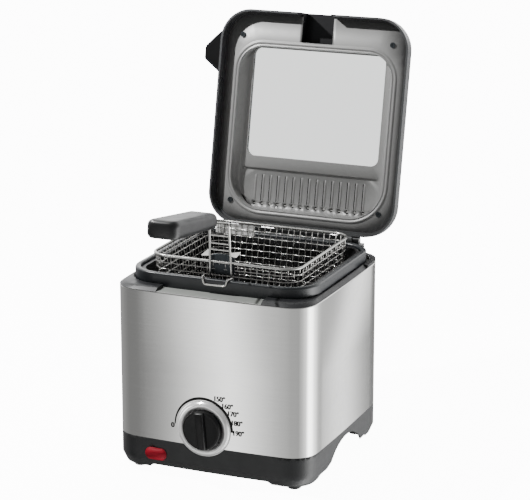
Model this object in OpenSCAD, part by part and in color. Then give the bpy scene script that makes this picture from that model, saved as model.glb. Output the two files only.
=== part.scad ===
// Compact deep fryer: steel housing on a moulded base, hinged lid with a viewing window,
// lifting frying basket with a front handle, fixed pot and a thermostat dial.
// +Z is up, +Y is the back, and the origin is on the table under the middle of the housing.

/* [Housing] */
// Width of the steel housing
body_w = 205; // [195:1:215]
// Depth of the steel housing
body_d = 200; // [192:1:210]
// Corner radius of the housing in plan
body_r = 33; // [28:1:38]
// Height of the seam between the base and the steel
seam_z = 35.6; // [33:0.2:40]
// Height of the top edge of the steel
steel_top = 184.6; // [175:0.2:195]
// Sheet thickness of the steel
sheet = 0.8; // [0.6:0.1:1.2]

/* [Base] */
// Height of the base's lower edge above the table
base_z = 5; // [4:0.5:7]
// Wall of the base moulding
base_wall = 2.6; // [2:0.2:4]
// How far the base draws in towards its lower edge
base_draft = 4; // [2:0.5:6]
// Height over which it draws in
draft_h = 9; // [6:0.5:12]
// Width of the arch in each side of the base
arch_w = 94; // [80:1:104]
// Height of the arch's crown above the table
arch_top = 29; // [24:0.5:30]
// Radius of a rubber foot
foot_r = 7.5; // [6:0.5:9]
// Distance of a foot's centre inside the housing's side
foot_side = 21; // [19:0.5:26]
// Distance of a foot's centre inside the housing's front and back
foot_end = 18; // [17:0.5:24]

/* [Collar and pot] */
// Height of the deck above the steel
deck_h = 3; // [2:0.1:4]
// Width of the deck's sloped shoulder
shoulder_w = 5; // [3:0.5:6]
// Distance of the collar's side inside the housing's
collar_side = 6.5; // [6:0.1:9]
// Distance of the collar's front behind the housing's
collar_front_in = 17; // [15:0.5:20]
// Distance of the collar's back inside the housing's
collar_back_in = 5; // [4:0.5:8]
// Corner radius of the collar
collar_r = 31; // [28:1:34]
// Height of the collar above the deck
collar_h = 10.4; // [9:0.2:11]
// Width of the collar's top
collar_wall = 6; // [5:0.2:7]
// Wall of the pot
pot_wall = 1; // [0.8:0.1:1.6]
// Width of the pot's hanging rim
pot_rim = 2.8; // [2:0.1:3]
// Height of the pot's floor
pot_floor = 84; // [80:1:90]
// Radius between the pot's wall and floor
pot_fillet = 12; // [8:1:15]

/* [Lid] */
// How far the lid's side stands out past the housing's
lid_over = 0.9; // [0:0.1:3]
// How far the lid's front stands out past the housing's
lid_front_over = 1; // [0:0.5:4]
// How far the lid's back stands out past the housing's
lid_back_over = 22.5; // [20:0.5:24]
// Corner radius of the lid in plan
lid_r = 33; // [28:1:38]
// Gap between the deck and the closed lid's rim
lid_gap = 0.6; // [0.4:0.1:1.5]
// Straight height of the lid's side
lid_side = 8.2; // [6:0.2:10]
// Radius from the lid's side to its top
lid_round = 20; // [16:1:22]
// Wall of the lid
lid_wall = 2.2; // [1.8:0.1:3]
// Height of the liner's flange above the rim
flange_h = 11.3; // [10.8:0.1:13]
// Sheet of the liner
liner_t = 1.2; // [0.8:0.1:1.6]
// Depth of the dish around the window, above the flange
dish_h = 10.5; // [8:0.5:11]
// Further depth of the vent panel
vent_step = 2.4; // [1.5:0.1:2.6]
// Distance of the liner's ridge inside the lid's side
ridge_side = 13.7; // [12:0.1:16]
// Distance of the ridge behind the lid's front
ridge_front_in = 32; // [30:0.5:36]
// Distance of the ridge inside the lid's back
ridge_back_in = 12; // [11:0.5:16]
// Corner radius of the ridge
ridge_r = 42; // [36:1:46]
// Distance of the vent panel's front edge inside the lid's back
vent_edge_in = 58.5; // [56:0.5:62]
// Distance of the viewing window's side inside the ridge
window_side = 16.2; // [15:0.1:22]
// Distance of the window's front edge behind the ridge
window_front_in = 6.7; // [6.5:0.1:12]
// Distance of the window's back edge from the vent panel
window_back_in = 13.3; // [10:0.1:20]
// Number of vent slots
vent_count = 15; // [9:2:17]
// Pitch of the vent slots
vent_pitch = 8.7; // [7:0.1:8.8]
// Width of a vent slot
vent_w = 2.4; // [1.6:0.1:3]
// How far the lid leans back past upright
lean = 11.8; // [8:0.1:14]
// Distance of the hinge behind the housing's back
hinge_behind = 26; // [25.6:0.1:27]
// Height of the hinge above the deck
hinge_h = 4; // [3.4:0.1:4.6]
// Radius of a hinge pin
pin_r = 1.6; // [1.4:0.05:1.8]

/* [Basket] */
// Room between the basket's side and the pot's
basket_side_gap = 8.4; // [6:0.1:12]
// Room between the basket's front and the pot's
basket_front_gap = 5.6; // [5:0.1:8]
// Room between the basket's back and the pot's
basket_back_gap = 7.9; // [5:0.1:12]
// Height of the raised basket's rim above the collar
rim_lift = 12.7; // [11:0.1:16]
// Depth of the basket
basket_h = 63; // [50:1:66]
// Corner radius of the basket's rim
basket_r = 19; // [16:1:22]
// How far the basket's walls draw in towards the floor
basket_draft = 8; // [5:0.5:10]
// Radius of the rim's wire
rim_wire = 1.5; // [1.2:0.1:2]
// Width of a mesh wire
mesh_wire = 1.2; // [1:0.1:1.6]
// Pitch of the mesh
mesh_pitch = 8.8; // [8:0.1:11]

/* [Handle] */
// Radius of the handle's wire
handle_wire = 1.3; // [1.1:0.05:1.4]
// Half the spacing of the handle's two wires
handle_x = 11.7; // [10:0.1:12]
// Height of the ladder above the rim
ladder_h = 41; // [38:0.5:42]
// Width of the grip
grip_w = 28; // [24:1:32]
// Thickness of the grip
grip_t = 16; // [12:0.5:18]
// Length of the grip
grip_l = 89; // [80:1:100]
// Rise of the handle towards its tip
grip_rise = 7.5; // [4:0.5:10]
// Distance of the grip's root in front of the ladder
grip_reach = 42.3; // [38:0.1:46]
// Height of the grip's root above the ladder
grip_step = 12.3; // [9:0.1:15]

/* [Thermostat] */
// Distance of the dial's centre from the middle
dial_x = -4; // [-8:0.5:4]
// Height of the dial's centre above the seam
dial_up = 18.4; // [16:0.2:24]
// Radius of the dial's ring
bezel_r = 28; // [25:0.5:30]
// Radius of the knob
knob_r = 21.2; // [18:0.2:22]
// Height of the knob's face above the housing
knob_face = 9; // [8:0.2:10]
// Height of the knob's bar above the housing
knob_h = 13; // [11:0.5:16]
// How far the knob is turned at rest
knob_rest = 6; // [0:1:12]
// Radius of the spindle
spindle_r = 3; // [2.5:0.1:3.5]

/* [Pilot lamp and gland] */
// Distance of the lamp's centre from the middle
lamp_x = -55.6; // [-64:0.2:-50]
// Distance of the lamp's centre below the seam
lamp_below = 15.1; // [14:0.1:16.5]
// Width of the lamp's lens
lamp_w = 23; // [18:0.5:26]
// Height of the lamp's lens
lamp_h = 12; // [9:0.5:13]
// Distance of the cord gland from the middle
gland_x = 56; // [40:1:60]
// Distance of the cord gland below the seam
gland_below = 15.6; // [14.6:0.1:17.6]
// Radius of the gland's bore
gland_bore = 3.6; // [3:0.1:4]

/* [Hidden] */

big = 400;                                   // longer than anything in the fryer
round_fn = 96;                               // segments of a large circle
small_fn = 32;                               // segments of a small circle
gap = 0.3;                                   // room between pieces that only sit together
run = 0.05;                                  // radial clearance of a turning fit

open_angle = 90 + lean;
foot_x = body_w / 2 - foot_side;
foot_y = body_d / 2 - foot_end;
deck_z = steel_top + deck_h;
collar_w = body_w - 2 * collar_side;
collar_front = body_d / 2 - collar_front_in;
collar_back = body_d / 2 - collar_back_in;
collar_top = deck_z + collar_h;
collar_d = collar_front + collar_back;
collar_y = (collar_back - collar_front) / 2;
slit = 1.2;                                  // dark joint around the collar's foot
plug_h = 4;                                  // depth of the collar's seat below its top
pot_w = collar_w - 2 * (collar_wall + gap + pot_rim);
pot_d = collar_d - 2 * (collar_wall + gap + pot_rim);
pot_r = collar_r - collar_wall - gap - pot_rim;
pot_seat = collar_top - plug_h;              // ledge that the pot's rim rests on
lid_w = body_w + 2 * lid_over;
lid_front = body_d / 2 + lid_front_over;
lid_back = body_d / 2 + lid_back_over;
rim_z = deck_z + lid_gap;
lid_d = lid_front + lid_back;
lid_y = (lid_back - lid_front) / 2;
lid_top = rim_z + lid_side + lid_round;
flange_z = rim_z + flange_h;
dish_z = flange_z + dish_h;
vent_z = dish_z + vent_step;
hinge_y = body_d / 2 + hinge_behind;
hinge_z = deck_z + hinge_h;
ridge_w = lid_w - 2 * ridge_side;
ridge_front = ridge_front_in - lid_front;
ridge_back = lid_back - ridge_back_in;
vent_edge = lid_back - vent_edge_in;
window_w = ridge_w - 2 * window_side;
window_d = vent_edge - window_back_in - ridge_front - window_front_in;
window_y = -(vent_edge - window_back_in + ridge_front + window_front_in) / 2;
basket_w = pot_w - 2 * basket_side_gap;
basket_front = collar_front - collar_wall - gap - pot_rim - basket_front_gap;
basket_back = collar_back - collar_wall - gap - pot_rim - basket_back_gap;
rim_raised = collar_top + rim_lift;
dial_z = seam_z + dial_up;
lamp_z = seam_z - lamp_below;
gland_z = seam_z - gland_below;
basket_d = basket_front + basket_back;
basket_y = (basket_back - basket_front) / 2;
floor_z = rim_raised - basket_h;
front_y = -body_d / 2;

// ---- shared forms -------------------------------------------------------------------------

// Flat rounded rectangle with true arcs at its corners
module plan(w, d, r) {
    square([w - 2 * r, d], center = true);
    square([w, d - 2 * r], center = true);
    for (sx = [-1, 1], sy = [-1, 1])
        translate([sx * (w / 2 - r), sy * (d / 2 - r)]) circle(r = r, $fn = round_fn);
}

module slab(w, d, r, z0, z1) {
    translate([0, 0, z0]) linear_extrude(z1 - z0) plan(w, d, r);
}

// Carries a wall's section around a rounded rectangle. The section is drawn with x = 0 on the
// outline, negative x inwards, and y as the height.
module around(w, d, r) {
    for (a = [0:3]) {
        long = (a % 2 == 0) ? d : w;
        half = (a % 2 == 0) ? w / 2 : d / 2;
        rotate([0, 0, 90 * a]) {
            translate([half, 0, 0]) rotate([90, 0, 0])
                linear_extrude(long - 2 * r, center = true) children();
            translate([half - r, long / 2 - r, 0])
                rotate_extrude(angle = 90, $fn = round_fn) translate([r, 0]) children();
        }
    }
}

// Rounded rectangle that widens from inset to full size over its height
module flared(w, d, r, inset, h) {
    for (sx = [-1, 1], sy = [-1, 1])
        translate([sx * (w / 2 - r), sy * (d / 2 - r), 0])
            cylinder(r1 = r - inset, r2 = r, h = h, $fn = round_fn);
    rotate([90, 0, 0]) linear_extrude(d - 2 * r, center = true) flare_side(w, inset, h);
    rotate([90, 0, 90]) linear_extrude(w - 2 * r, center = true) flare_side(d, inset, h);
}

module flare_side(w, inset, h) {
    polygon([[-w / 2 + inset, 0], [w / 2 - inset, 0], [w / 2, h], [-w / 2, h]]);
}

// Straight round bar between two points
module bar(a, b, r, fn = small_fn) {
    v = b - a;
    long = norm(v);
    translate(a) rotate([0, acos(v[2] / long), atan2(v[1], v[0])])
        cylinder(r = r, h = long, $fn = fn);
}

// Screw with a pan head at the origin, shank pointing down
module screw(head_r, head_h, shank_r, shank_l) {
    difference() {
        cylinder(r = head_r, h = head_h, $fn = small_fn);
        for (a = [0, 90]) rotate([0, 0, a]) translate([0, 0, head_h])
            cube([head_r * 1.3, head_r * 0.28, head_h], center = true);
    }
    translate([0, 0, -shank_l]) cylinder(r = shank_r, h = shank_l, $fn = small_fn);
}

// Ball at a wire's bend, a touch fuller than the wire
module bend(p, r) {
    translate(p) sphere(r = r + 0.04, $fn = small_fn);
}

module at_corners(x, y) {
    for (sx = [-1, 1], sy = [-1, 1]) translate([sx * x, sy * y, 0]) children();
}

// Puts a piece drawn on the closed lid where the open lid stands
module open_lid() {
    translate([0, hinge_y, hinge_z]) rotate([-open_angle, 0, 0])
        translate([0, -hinge_y, -hinge_z]) children();
}

// Turns a piece drawn along +Z so that it points out of the housing's front
module on_front(x, z, y = front_y) {
    translate([x, y, z]) rotate([90, 0, 0]) children();
}

// ---- housing ------------------------------------------------------------------------------

spindle_hole = spindle_r + 3;
bracket_holes = [for (sx = [-1, 1], z = [-17, -6]) [sx * 45, steel_top + z]];

module steel_wrap() {
    color("silver") difference() {
        union() {
            difference() {
                slab(body_w, body_d, body_r, seam_z, steel_top);
                slab(body_w - 2 * sheet, body_d - 2 * sheet, body_r - sheet,
                    seam_z - 1, steel_top + 1);
            }
            difference() {
                slab(body_w - sheet, body_d - sheet, body_r - sheet / 2,
                    steel_top - sheet, steel_top);
                ledge_hole();
            }
        }
        on_front(dial_x, dial_z, front_y + 3) cylinder(r = spindle_hole, h = 6, $fn = small_fn);
        for (p = bracket_holes) translate([p[0], body_d / 2 + 1, p[1]]) rotate([90, 0, 0])
            cylinder(r = hinge_screw_r + gap, h = 4, $fn = small_fn);
        at_deck_screws() cylinder(r = deck_screw_r + gap, h = 6, center = true, $fn = small_fn);
    }
}

// Opening in the steel ledge, which the pot and the collar's skirt drop through
module ledge_hole() {
    translate([0, collar_y, 0])
        slab(collar_w - 2 * collar_seat, collar_d - 2 * collar_seat, collar_r - collar_seat,
            steel_top - sheet - 1, steel_top + 1);
}

collar_seat = 4;                             // how far the collar's foot rests on the ledge

module base_outline(grow, z0, z1) {
    w = body_w + 2 * grow;
    d = body_d + 2 * grow;
    r = body_r + grow;
    translate([0, 0, z0]) flared(w, d, r, base_draft, draft_h);
    slab(w, d, r, z0 + draft_h, z1);
}

tongue_h = 4;                                // height of the tongue inside the steel
leg_pad = 3;                                 // floor of each leg, over its foot
plate_z = arch_top + 1.6;                    // underside of the bottom plate
plate_t = 1;
shield_side = 22.5;                          // room between the shield and the housing's side
shield_end = 27;                             // the same at its front and back
shield_w = body_w - 2 * shield_side;
shield_d = body_d - 2 * shield_end;
tower_x = shield_w / 2 - 18;
tower_y = shield_d / 2 - 15;
shield_z = 58;
tower_r = 5;
arch_r = (pow(arch_w / 2, 2) + pow(arch_top - base_z, 2)) / (2 * (arch_top - base_z));

module base_skirt() {
    color([0.12, 0.12, 0.13]) {
        base_shell();
        lamp_pocket();
    }
}

// Closed box behind the pilot lamp's lens
module lamp_pocket() {
    w = lamp_w + 6;
    d = 21;
    low = lamp_z - lamp_h / 2 - 4;
    difference() {
        translate([lamp_x - w / 2, front_y + base_wall - 1, low]) cube([w, d, plate_z - low]);
        translate([lamp_x - w / 2 + 1.6, front_y + base_wall - 2, low + 1.6])
            cube([w - 3.2, d - 0.6, big]);
    }
}

module base_shell() {
    difference() {
        union() {
            difference() {
                base_outline(0, base_z, seam_z);
                translate([0, 0, leg_pad]) base_outline(-base_wall, base_z, seam_z + 1);
            }
            // tongue that the steel slips over
            difference() {
                slab(body_w - 2 * sheet - gap, body_d - 2 * sheet - gap, body_r - sheet,
                    seam_z - 3, seam_z + tongue_h);
                slab(body_w - 2 * base_wall - 2, body_d - 2 * base_wall - 2,
                    body_r - base_wall - 1, seam_z - 4, seam_z + tongue_h + 1);
            }
            intersection() {
                base_outline(-base_wall / 2, base_z, seam_z);
                at_corners(body_w / 2 - 20, body_d / 2 - 20)
                    translate([0, 0, base_z + leg_pad + 10])
                        cube([60, 60, 20 + 2 * leg_pad], center = true);
            }
        }
        // under-side cavity between the legs
        translate([0, 0, -1]) slab(2 * (foot_x - foot_r - 4), body_d - 2 * base_wall, 12, 0, plate_z + 1);
        translate([0, 0, -1]) slab(body_w - 2 * base_wall, 2 * (foot_y - foot_r - 4), 12, 0, plate_z + 1);
        slab(body_w - 2 * base_wall, body_d - 2 * base_wall, body_r - base_wall,
            plate_z, seam_z + 9);
        rotate([90, 0, 90]) translate([0, arch_top - arch_r, 0])
            cylinder(r = arch_r, h = big, center = true, $fn = round_fn);
        at_corners(foot_x, foot_y) {
            translate([0, 0, base_z - 1]) cylinder(r = foot_stud, h = 1 + leg_pad, $fn = small_fn);
            cylinder(r = base_screw_r, h = base_z + 9, $fn = small_fn);
            translate([0, 0, plate_z - 9]) cylinder(r = base_screw_r, h = 10, $fn = small_fn);
        }
        translate([lamp_x, front_y + base_wall + 1, lamp_z]) rotate([90, 0, 0])
            linear_extrude(base_wall + 4) plan(lamp_w - 2, lamp_h - 2, lamp_h / 2 - 1.2);
        translate([gland_x, body_d / 2 + 2, gland_z]) rotate([90, 0, 0])
            cylinder(r = gland_r, h = base_wall + 4, $fn = small_fn);
    }
}

module bottom_plate() {
    color("gainsboro") difference() {
        slab(body_w - 2 * base_wall - gap, body_d - 2 * base_wall - gap,
            body_r - base_wall, plate_z, plate_z + plate_t);
        for (i = [-4:4]) translate([i * 11, 0, plate_z])
            cube([4, 44, 3 * plate_t], center = true);
        at_corners(foot_x, foot_y) cylinder(r = base_screw_r + gap, h = big / 4, $fn = small_fn);
        translate([lamp_x, front_y + 14, 0]) cylinder(r = 4, h = big / 4, $fn = small_fn);
    }
    color("gainsboro") at_corners(tower_x, tower_y) difference() {
        translate([0, 0, plate_z + plate_t]) cylinder(r = tower_r,
            h = shield_z - plate_z - plate_t, $fn = small_fn);
        translate([0, 0, shield_z - 10]) cylinder(r = shield_screw_r, h = 11, $fn = small_fn);
    }
}

foot_stud = 3;
base_screw_r = 1.8;

module rubber_feet() {
    color([0.16, 0.16, 0.16]) at_corners(foot_x, foot_y) difference() {
        rotate_extrude($fn = small_fn) polygon([[0, 0], [foot_r - 1.5, 0], [foot_r, 1.5],
            [foot_r, base_z], [foot_stud, base_z], [foot_stud, base_z + leg_pad],
            [0, base_z + leg_pad]]);
        translate([0, 0, -1]) cylinder(r = foot_recess, h = 3, $fn = small_fn);
        cylinder(r = base_screw_r, h = 20, $fn = small_fn);
    }
}

foot_recess = 4;

module foot_screws() {
    color("darkgray") at_corners(foot_x, foot_y) translate([0, 0, 2]) mirror([0, 0, 1])
        screw(foot_recess - 0.8, 1.4, base_screw_r, base_z + leg_pad + 3);
}

module base_screws() {
    color("darkgray") at_corners(foot_x, foot_y) translate([0, 0, plate_z + plate_t])
        screw(3.4, 2, base_screw_r, 9);
}

deck_screw_r = 1.2;

module at_deck_screws() {
    for (sx = [-1, 1]) {
        translate([sx * (body_w / 2 - 36.5), front_y + 9, steel_top]) children();
        translate([sx * (body_w / 2 - 12.8), body_d / 2 - 12, steel_top]) children();
    }
}

module top_deck() {
    color([0.13, 0.13, 0.14]) difference() {
        union() {
            translate([0, 0, deck_z]) mirror([0, 0, 1])
                flared(body_w, body_d, body_r, shoulder_w, deck_z - steel_top);
            // level platform behind, which carries the hinge
            intersection() {
                slab(body_w, body_d, body_r, steel_top, deck_z);
                translate([-big / 2, platform_y, 0]) cube([big, big, big]);
            }
        }
        translate([0, collar_y, 0])
            slab(collar_w + 2 * slit, collar_d + 2 * slit, collar_r + slit,
                steel_top - 1, deck_z + 1);
        // front cut-out that leaves the steel ledge bare
        translate([-ledge_show / 2, front_y - 1, steel_top - 1])
            cube([ledge_show, body_d / 2 - collar_front + 6, deck_z]);
        at_deck_screws() translate([0, 0, -1]) cylinder(r = deck_screw_r, h = 3.2, $fn = small_fn);
    }
}

platform_y = 55;
ledge_show = 108;

module deck_screws() {
    color("darkgray") at_deck_screws() translate([0, 0, -sheet]) mirror([0, 0, 1])
        screw(2.3, 1.2, deck_screw_r, 2.8);
}

module pot_collar() {
    color([0.12, 0.13, 0.14]) translate([0, collar_y, 0]) {
        around(collar_w, collar_d, collar_r) collar_section();
    }
}

// Section of the collar: a rounded top, a seat for the pot's rim and a foot on the ledge
module collar_section() {
    soft = 2.2;
    seat_in = collar_wall + gap + pot_rim - 0.4;
    translate([-collar_wall, steel_top]) square([collar_wall, collar_top - soft - steel_top]);
    translate([-collar_wall + soft, collar_top - 2 * soft])
        square([collar_wall - 2 * soft, 2 * soft]);
    translate([-soft, collar_top - soft]) circle(r = soft, $fn = small_fn);
    translate([-collar_wall + soft, collar_top - soft]) circle(r = soft, $fn = small_fn);
    translate([-seat_in, steel_top + 2]) square([seat_in, pot_seat - steel_top - 2]);
}

module oil_pot() {
    fillet_out = pot_fillet + pot_wall;
    color([0.16, 0.16, 0.17]) translate([0, collar_y, 0]) {
        around(pot_w, pot_d, pot_r) {
            translate([0, pot_seat]) square([pot_rim - gap, 1.2]);
            translate([-pot_wall, pot_floor - pot_wall + fillet_out])
                square([pot_wall, pot_seat + 1.2 - pot_floor + pot_wall - fillet_out]);
            translate([-fillet_out, pot_floor - pot_wall + fillet_out]) intersection() {
                difference() {
                    circle(r = fillet_out, $fn = small_fn);
                    circle(r = pot_fillet, $fn = small_fn);
                }
                translate([0, -fillet_out]) square(fillet_out);
            }
        }
        slab(pot_w - 2 * fillet_out, pot_d - 2 * fillet_out, pot_r - fillet_out,
            pot_floor - pot_wall, pot_floor);
    }
}

// Wire clip over the collar's front, on which the raised basket's bracket rests
module basket_rest() {
    r = 1.1;
    x = 13;
    flare = 1.6;
    back = -collar_front + collar_wall + r;
    front = -collar_front - r;
    top = collar_top + r;
    foot = collar_top - 5.3;
    color("silver") {
        for (s = [-1, 1]) {
            bar([s * (x + flare), back, pot_seat + 1.2 + gap], [s * (x + flare), back, top], r);
            bar([s * (x + flare), back, top], [s * x, front, top], r);
            bar([s * x, front, top], [s * (x - 2), front, foot], r);
            bend([s * (x + flare), back, top], r);
            bend([s * x, front, top], r);
            bend([s * (x - 2), front, foot], r);
        }
        bar([-x + 2, front, foot], [x - 2, front, foot], r);
    }
}

// ---- heating and control -------------------------------------------------------------------

heater_r = 52;
tube_r = 4;
heater_plate_t = 4;
plate_low = pot_floor - pot_wall - heater_plate_t;
heater_z = plate_low - tube_r - 0.05;
clamp_z = heater_z - tube_r - 2.05;
tail_x = 9;

module heater_plate() {
    color("lightgray") translate([0, collar_y, pot_floor - pot_wall - heater_plate_t])
        cylinder(r = 64, h = heater_plate_t, $fn = round_fn);
}

module heating_element() {
    swing = asin(tail_x / heater_r);
    arc = (360 - 2 * swing) / 3;
    color("dimgray") translate([0, collar_y, heater_z]) {
        for (i = [0:2]) rotate([0, 0, -90 + swing + arc * i])
            rotate_extrude(angle = arc, $fn = round_fn)
                translate([heater_r, 0]) circle(r = tube_r, $fn = small_fn);
        for (s = [-1, 1]) translate([s * tail_x, -heater_r * cos(swing), 0]) {
            bend([0, 0, 0], tube_r);
            translate([0, 0, -14]) cylinder(r = tube_r, h = 14, $fn = small_fn);
            translate([0, 0, -20]) cylinder(r = 1.5, h = 6, $fn = small_fn);
        }
    }
}

module heater_clamp() {
    arm = 2 * (heater_r + tube_r + 2);
    color("gray") translate([0, collar_y, clamp_z]) difference() {
        union() {
            translate([-arm / 2, -8, 0]) cube([arm, 16, 2]);
            cylinder(r = 10, h = plate_low - clamp_z, $fn = small_fn);
        }
        translate([0, 0, -1]) cylinder(r = 2.2, h = 2 * tube_r, $fn = small_fn);
    }
}

module heat_shield() {
    color("lightgray") difference() {
        slab(shield_w, shield_d, 18, shield_z, shield_z + 8);
        slab(shield_w - 2 * plate_t, shield_d - 2 * plate_t, 17, shield_z + plate_t, shield_z + 9);
        at_corners(tower_x, tower_y) cylinder(r = shield_screw_r + gap, h = big / 2, $fn = small_fn);
        translate([0, collar_y - heater_r, shield_z]) cube([40, 20, 6], center = true);
    }
}

shield_screw_r = 1.8;

module shield_screws() {
    color("darkgray") at_corners(tower_x, tower_y) translate([0, 0, shield_z + plate_t])
        screw(3.4, 2, shield_screw_r, 9);
}

thermo_d = 18;
thermo_front = front_y + sheet + 4;

module thermostat_bracket() {
    plate = 1.5;
    low = seam_z + tongue_h + gap;
    tall = dial_z + 17 - low;
    color("gainsboro") translate([dial_x, thermo_front - plate, dial_z]) {
        difference() {
            translate([-24, 0, low - dial_z]) cube([48, plate, tall]);
            rotate([90, 0, 0]) cylinder(r = spindle_hole, h = 3 * plate, center = true, $fn = small_fn);
        }
        for (s = [-1, 1]) translate([s * 22.5 - 1.5, -4 + plate, low - dial_z]) cube([3, 4, tall]);
    }
}

module thermostat_body() {
    color([0.75, 0.72, 0.62]) translate([dial_x, thermo_front, dial_z]) {
        difference() {
            union() {
                translate([-16, 0, -14]) cube([32, thermo_d, 28]);
                rotate([-90, 0, 0]) cylinder(r = 12, h = thermo_d + 3, $fn = small_fn);
            }
            rotate([-90, 0, 0]) translate([0, 0, -1])
                cylinder(r = spindle_r + run, h = 11, $fn = small_fn);
        }
        for (s = [-1, 1]) translate([s * 10 - 3, thermo_d - 1, -10]) cube([6, 7, 0.8]);
    }
}

bulb_r = 3;

module sensor_bulb() {
    y = collar_y - pot_d / 2 - bulb_r - 0.1;
    z = pot_floor + 24;
    corner = [-42, y, z];
    low = [-42, y, dial_z + 8];
    color("peru") {
        bar([-34, y, z], [26, y, z], bulb_r);
        bar([-33, y, z], corner, 0.9);
        bend(corner, 0.9);
        bar(corner, low, 0.9);
        bend(low, 0.9);
        bar(low, [dial_x - 16, thermo_front + thermo_d / 2, dial_z + 8], 0.9);
    }
}

module thermal_fuse() {
    color("tan") translate([30, collar_y, clamp_z]) {
        translate([-6, 0, -4]) rotate([0, 90, 0]) cylinder(r = 3.2, h = 18, $fn = small_fn);
        translate([0, -5, -2]) cube([6, 10, 2]);
    }
}

module terminal_block() {
    color("ivory") translate([10, body_d / 2 - 46, plate_z + plate_t]) difference() {
        cube([34, 16, 14]);
        for (i = [0:2]) translate([7 + 10 * i, 8, 8]) cylinder(r = 2.6, h = 8, $fn = small_fn);
        for (i = [0:2]) translate([7 + 10 * i, -1, 5]) rotate([-90, 0, 0])
            cylinder(r = 2, h = 20, $fn = small_fn);
    }
}

gland_r = 6;

module cord_gland() {
    color([0.1, 0.1, 0.1]) translate([gland_x, body_d / 2, gland_z]) rotate([-90, 0, 0])
        rotate_extrude($fn = small_fn) polygon([[gland_bore, -9], [gland_r - 0.1, -9],
            [gland_r - 0.1, 0], [gland_r + 2, 0], [gland_r + 2, 2.4], [gland_r, 5],
            [gland_bore, 5]]);
}

bezel_h = 6;

module dial_bezel() {
    lip = bezel_r - 2;
    inner = knob_r + 0.8;
    color("silver") on_front(dial_x, dial_z) rotate_extrude($fn = round_fn)
        polygon([[spindle_hole, 0], [bezel_r, 0], [bezel_r, 1.6], [lip, bezel_h - 0.8],
            [lip - 1.4, bezel_h], [inner, bezel_h - 1.2], [inner, 1.4], [spindle_hole, 1.4]]);
}

module lamp_lens() {
    color([0.55, 0.05, 0.08]) translate([lamp_x, front_y, lamp_z]) rotate([90, 0, 0]) {
        translate([0, 0, -base_wall]) linear_extrude(base_wall)
            plan(lamp_w - 2.4, lamp_h - 2.4, lamp_h / 2 - 1.4);
        linear_extrude(1.2) plan(lamp_w, lamp_h, lamp_h / 2 - 0.2);
        translate([0, 0, 1.2]) intersection() {
            linear_extrude(1.2) plan(lamp_w - 2, lamp_h - 2, lamp_h / 2 - 1.2);
            translate([0, 0, -46.8]) rotate([0, 90, 0])
                cylinder(r = 48, h = lamp_w, center = true, $fn = round_fn);
        }
    }
}

module neon_lamp() {
    color("white") translate([lamp_x, front_y + base_wall, lamp_z]) rotate([-90, 0, 0]) {
        cylinder(r = 3, h = 9, $fn = small_fn);
        translate([0, 0, 9]) cylinder(r = 4, h = 6, $fn = small_fn);
    }
}

// ---- hinge ---------------------------------------------------------------------------------

ear_r = 3.3;
knuckle_r = 4.4;
knuckle_x = [50, 60];
ear_t = 7;
hinge_screw_r = 1.6;
side_gap = 0.4;
lowest_open = hinge_z + (hinge_y - lid_back + lid_round) * sin(open_angle)
    + (rim_z + lid_side - hinge_z) * cos(open_angle) - lid_round;
stop_z = lowest_open - 0.15;
stop_front = hinge_y + knuckle_r + 1;

module hinge_bracket() {
    half = knuckle_x[1] + side_gap + ear_t;
    top = hinge_z - knuckle_r - 2.2;
    back = body_d / 2;
    color([0.12, 0.12, 0.13]) difference() {
        union() {
            rotate([90, 0, 90]) linear_extrude(2 * half, center = true) difference() {
                polygon([[back, steel_top - 24], [back + 3, steel_top - 24],
                    [stop_front + 9, top - 4], [stop_front + 9, top], [back, top]]);
                translate([back + 15, steel_top - 36]) circle(r = 20, $fn = round_fn);
            }
            for (s = [-1, 1], x = [knuckle_x[0] - side_gap - ear_t, knuckle_x[1] + side_gap])
                translate([s > 0 ? x : -x - ear_t, 0, 0]) ear(top);
            translate([-30, stop_front, top - 1]) cube([60, 9, stop_z - top + 1]);
        }
        rotate([0, 90, 0]) translate([-hinge_z, hinge_y, 0])
            cylinder(r = pin_r, h = big, center = true, $fn = small_fn);
        for (p = bracket_holes) translate([p[0], back - 1, p[1]]) rotate([-90, 0, 0]) {
            cylinder(r = hinge_screw_r, h = 8.4, $fn = small_fn);
        }
    }
}

module ear(top) {
    translate([0, hinge_y, hinge_z]) rotate([0, 90, 0]) cylinder(r = ear_r, h = ear_t, $fn = small_fn);
    translate([0, hinge_y - 2.4, top - 1]) cube([ear_t, 2.4 + ear_r, hinge_z - top + 1]);
}

module hinge_screws() {
    color("darkgray") for (p = bracket_holes)
        translate([p[0], body_d / 2 - sheet, p[1]]) rotate([90, 0, 0])
            screw(3.2, 1.8, hinge_screw_r, 7.6);
}

module hinge_pins() {
    long = knuckle_x[1] - knuckle_x[0] + 2 * side_gap + 2 * ear_t;
    start = knuckle_x[0] - side_gap - ear_t;
    color("gainsboro") for (s = [-1, 1])
        translate([s > 0 ? start : -start - long, hinge_y, hinge_z]) rotate([0, 90, 0])
            cylinder(r = pin_r, h = long, $fn = small_fn);
}

// ---- lid, drawn closed ---------------------------------------------------------------------

hood_w = 39;
hood_wall = 2.4;
hood_back = -basket_front + 0.7;
hood_end = 1.0;                              // wall that closes the channel at the back
filter_w = 136;
filter_d = 36;
filter_y = lid_back - 39;
cover_h = 8;
pane_t = 2.8;
pane_lap = 2.5;                              // how far the pane reaches past the window
seal_w = 1.5;                                // seal beyond the pane's edge

module shell_section(inset = 0) {
    r = lid_round - inset;
    translate([-lid_round, rim_z - 1 + min(1, 1 - inset)])
        square([r, lid_side + 1 - min(1, 1 - inset)]);
    translate([-lid_round, rim_z + lid_side]) intersection() {
        circle(r = r, $fn = round_fn);
        square(lid_round);
    }
}

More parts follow.
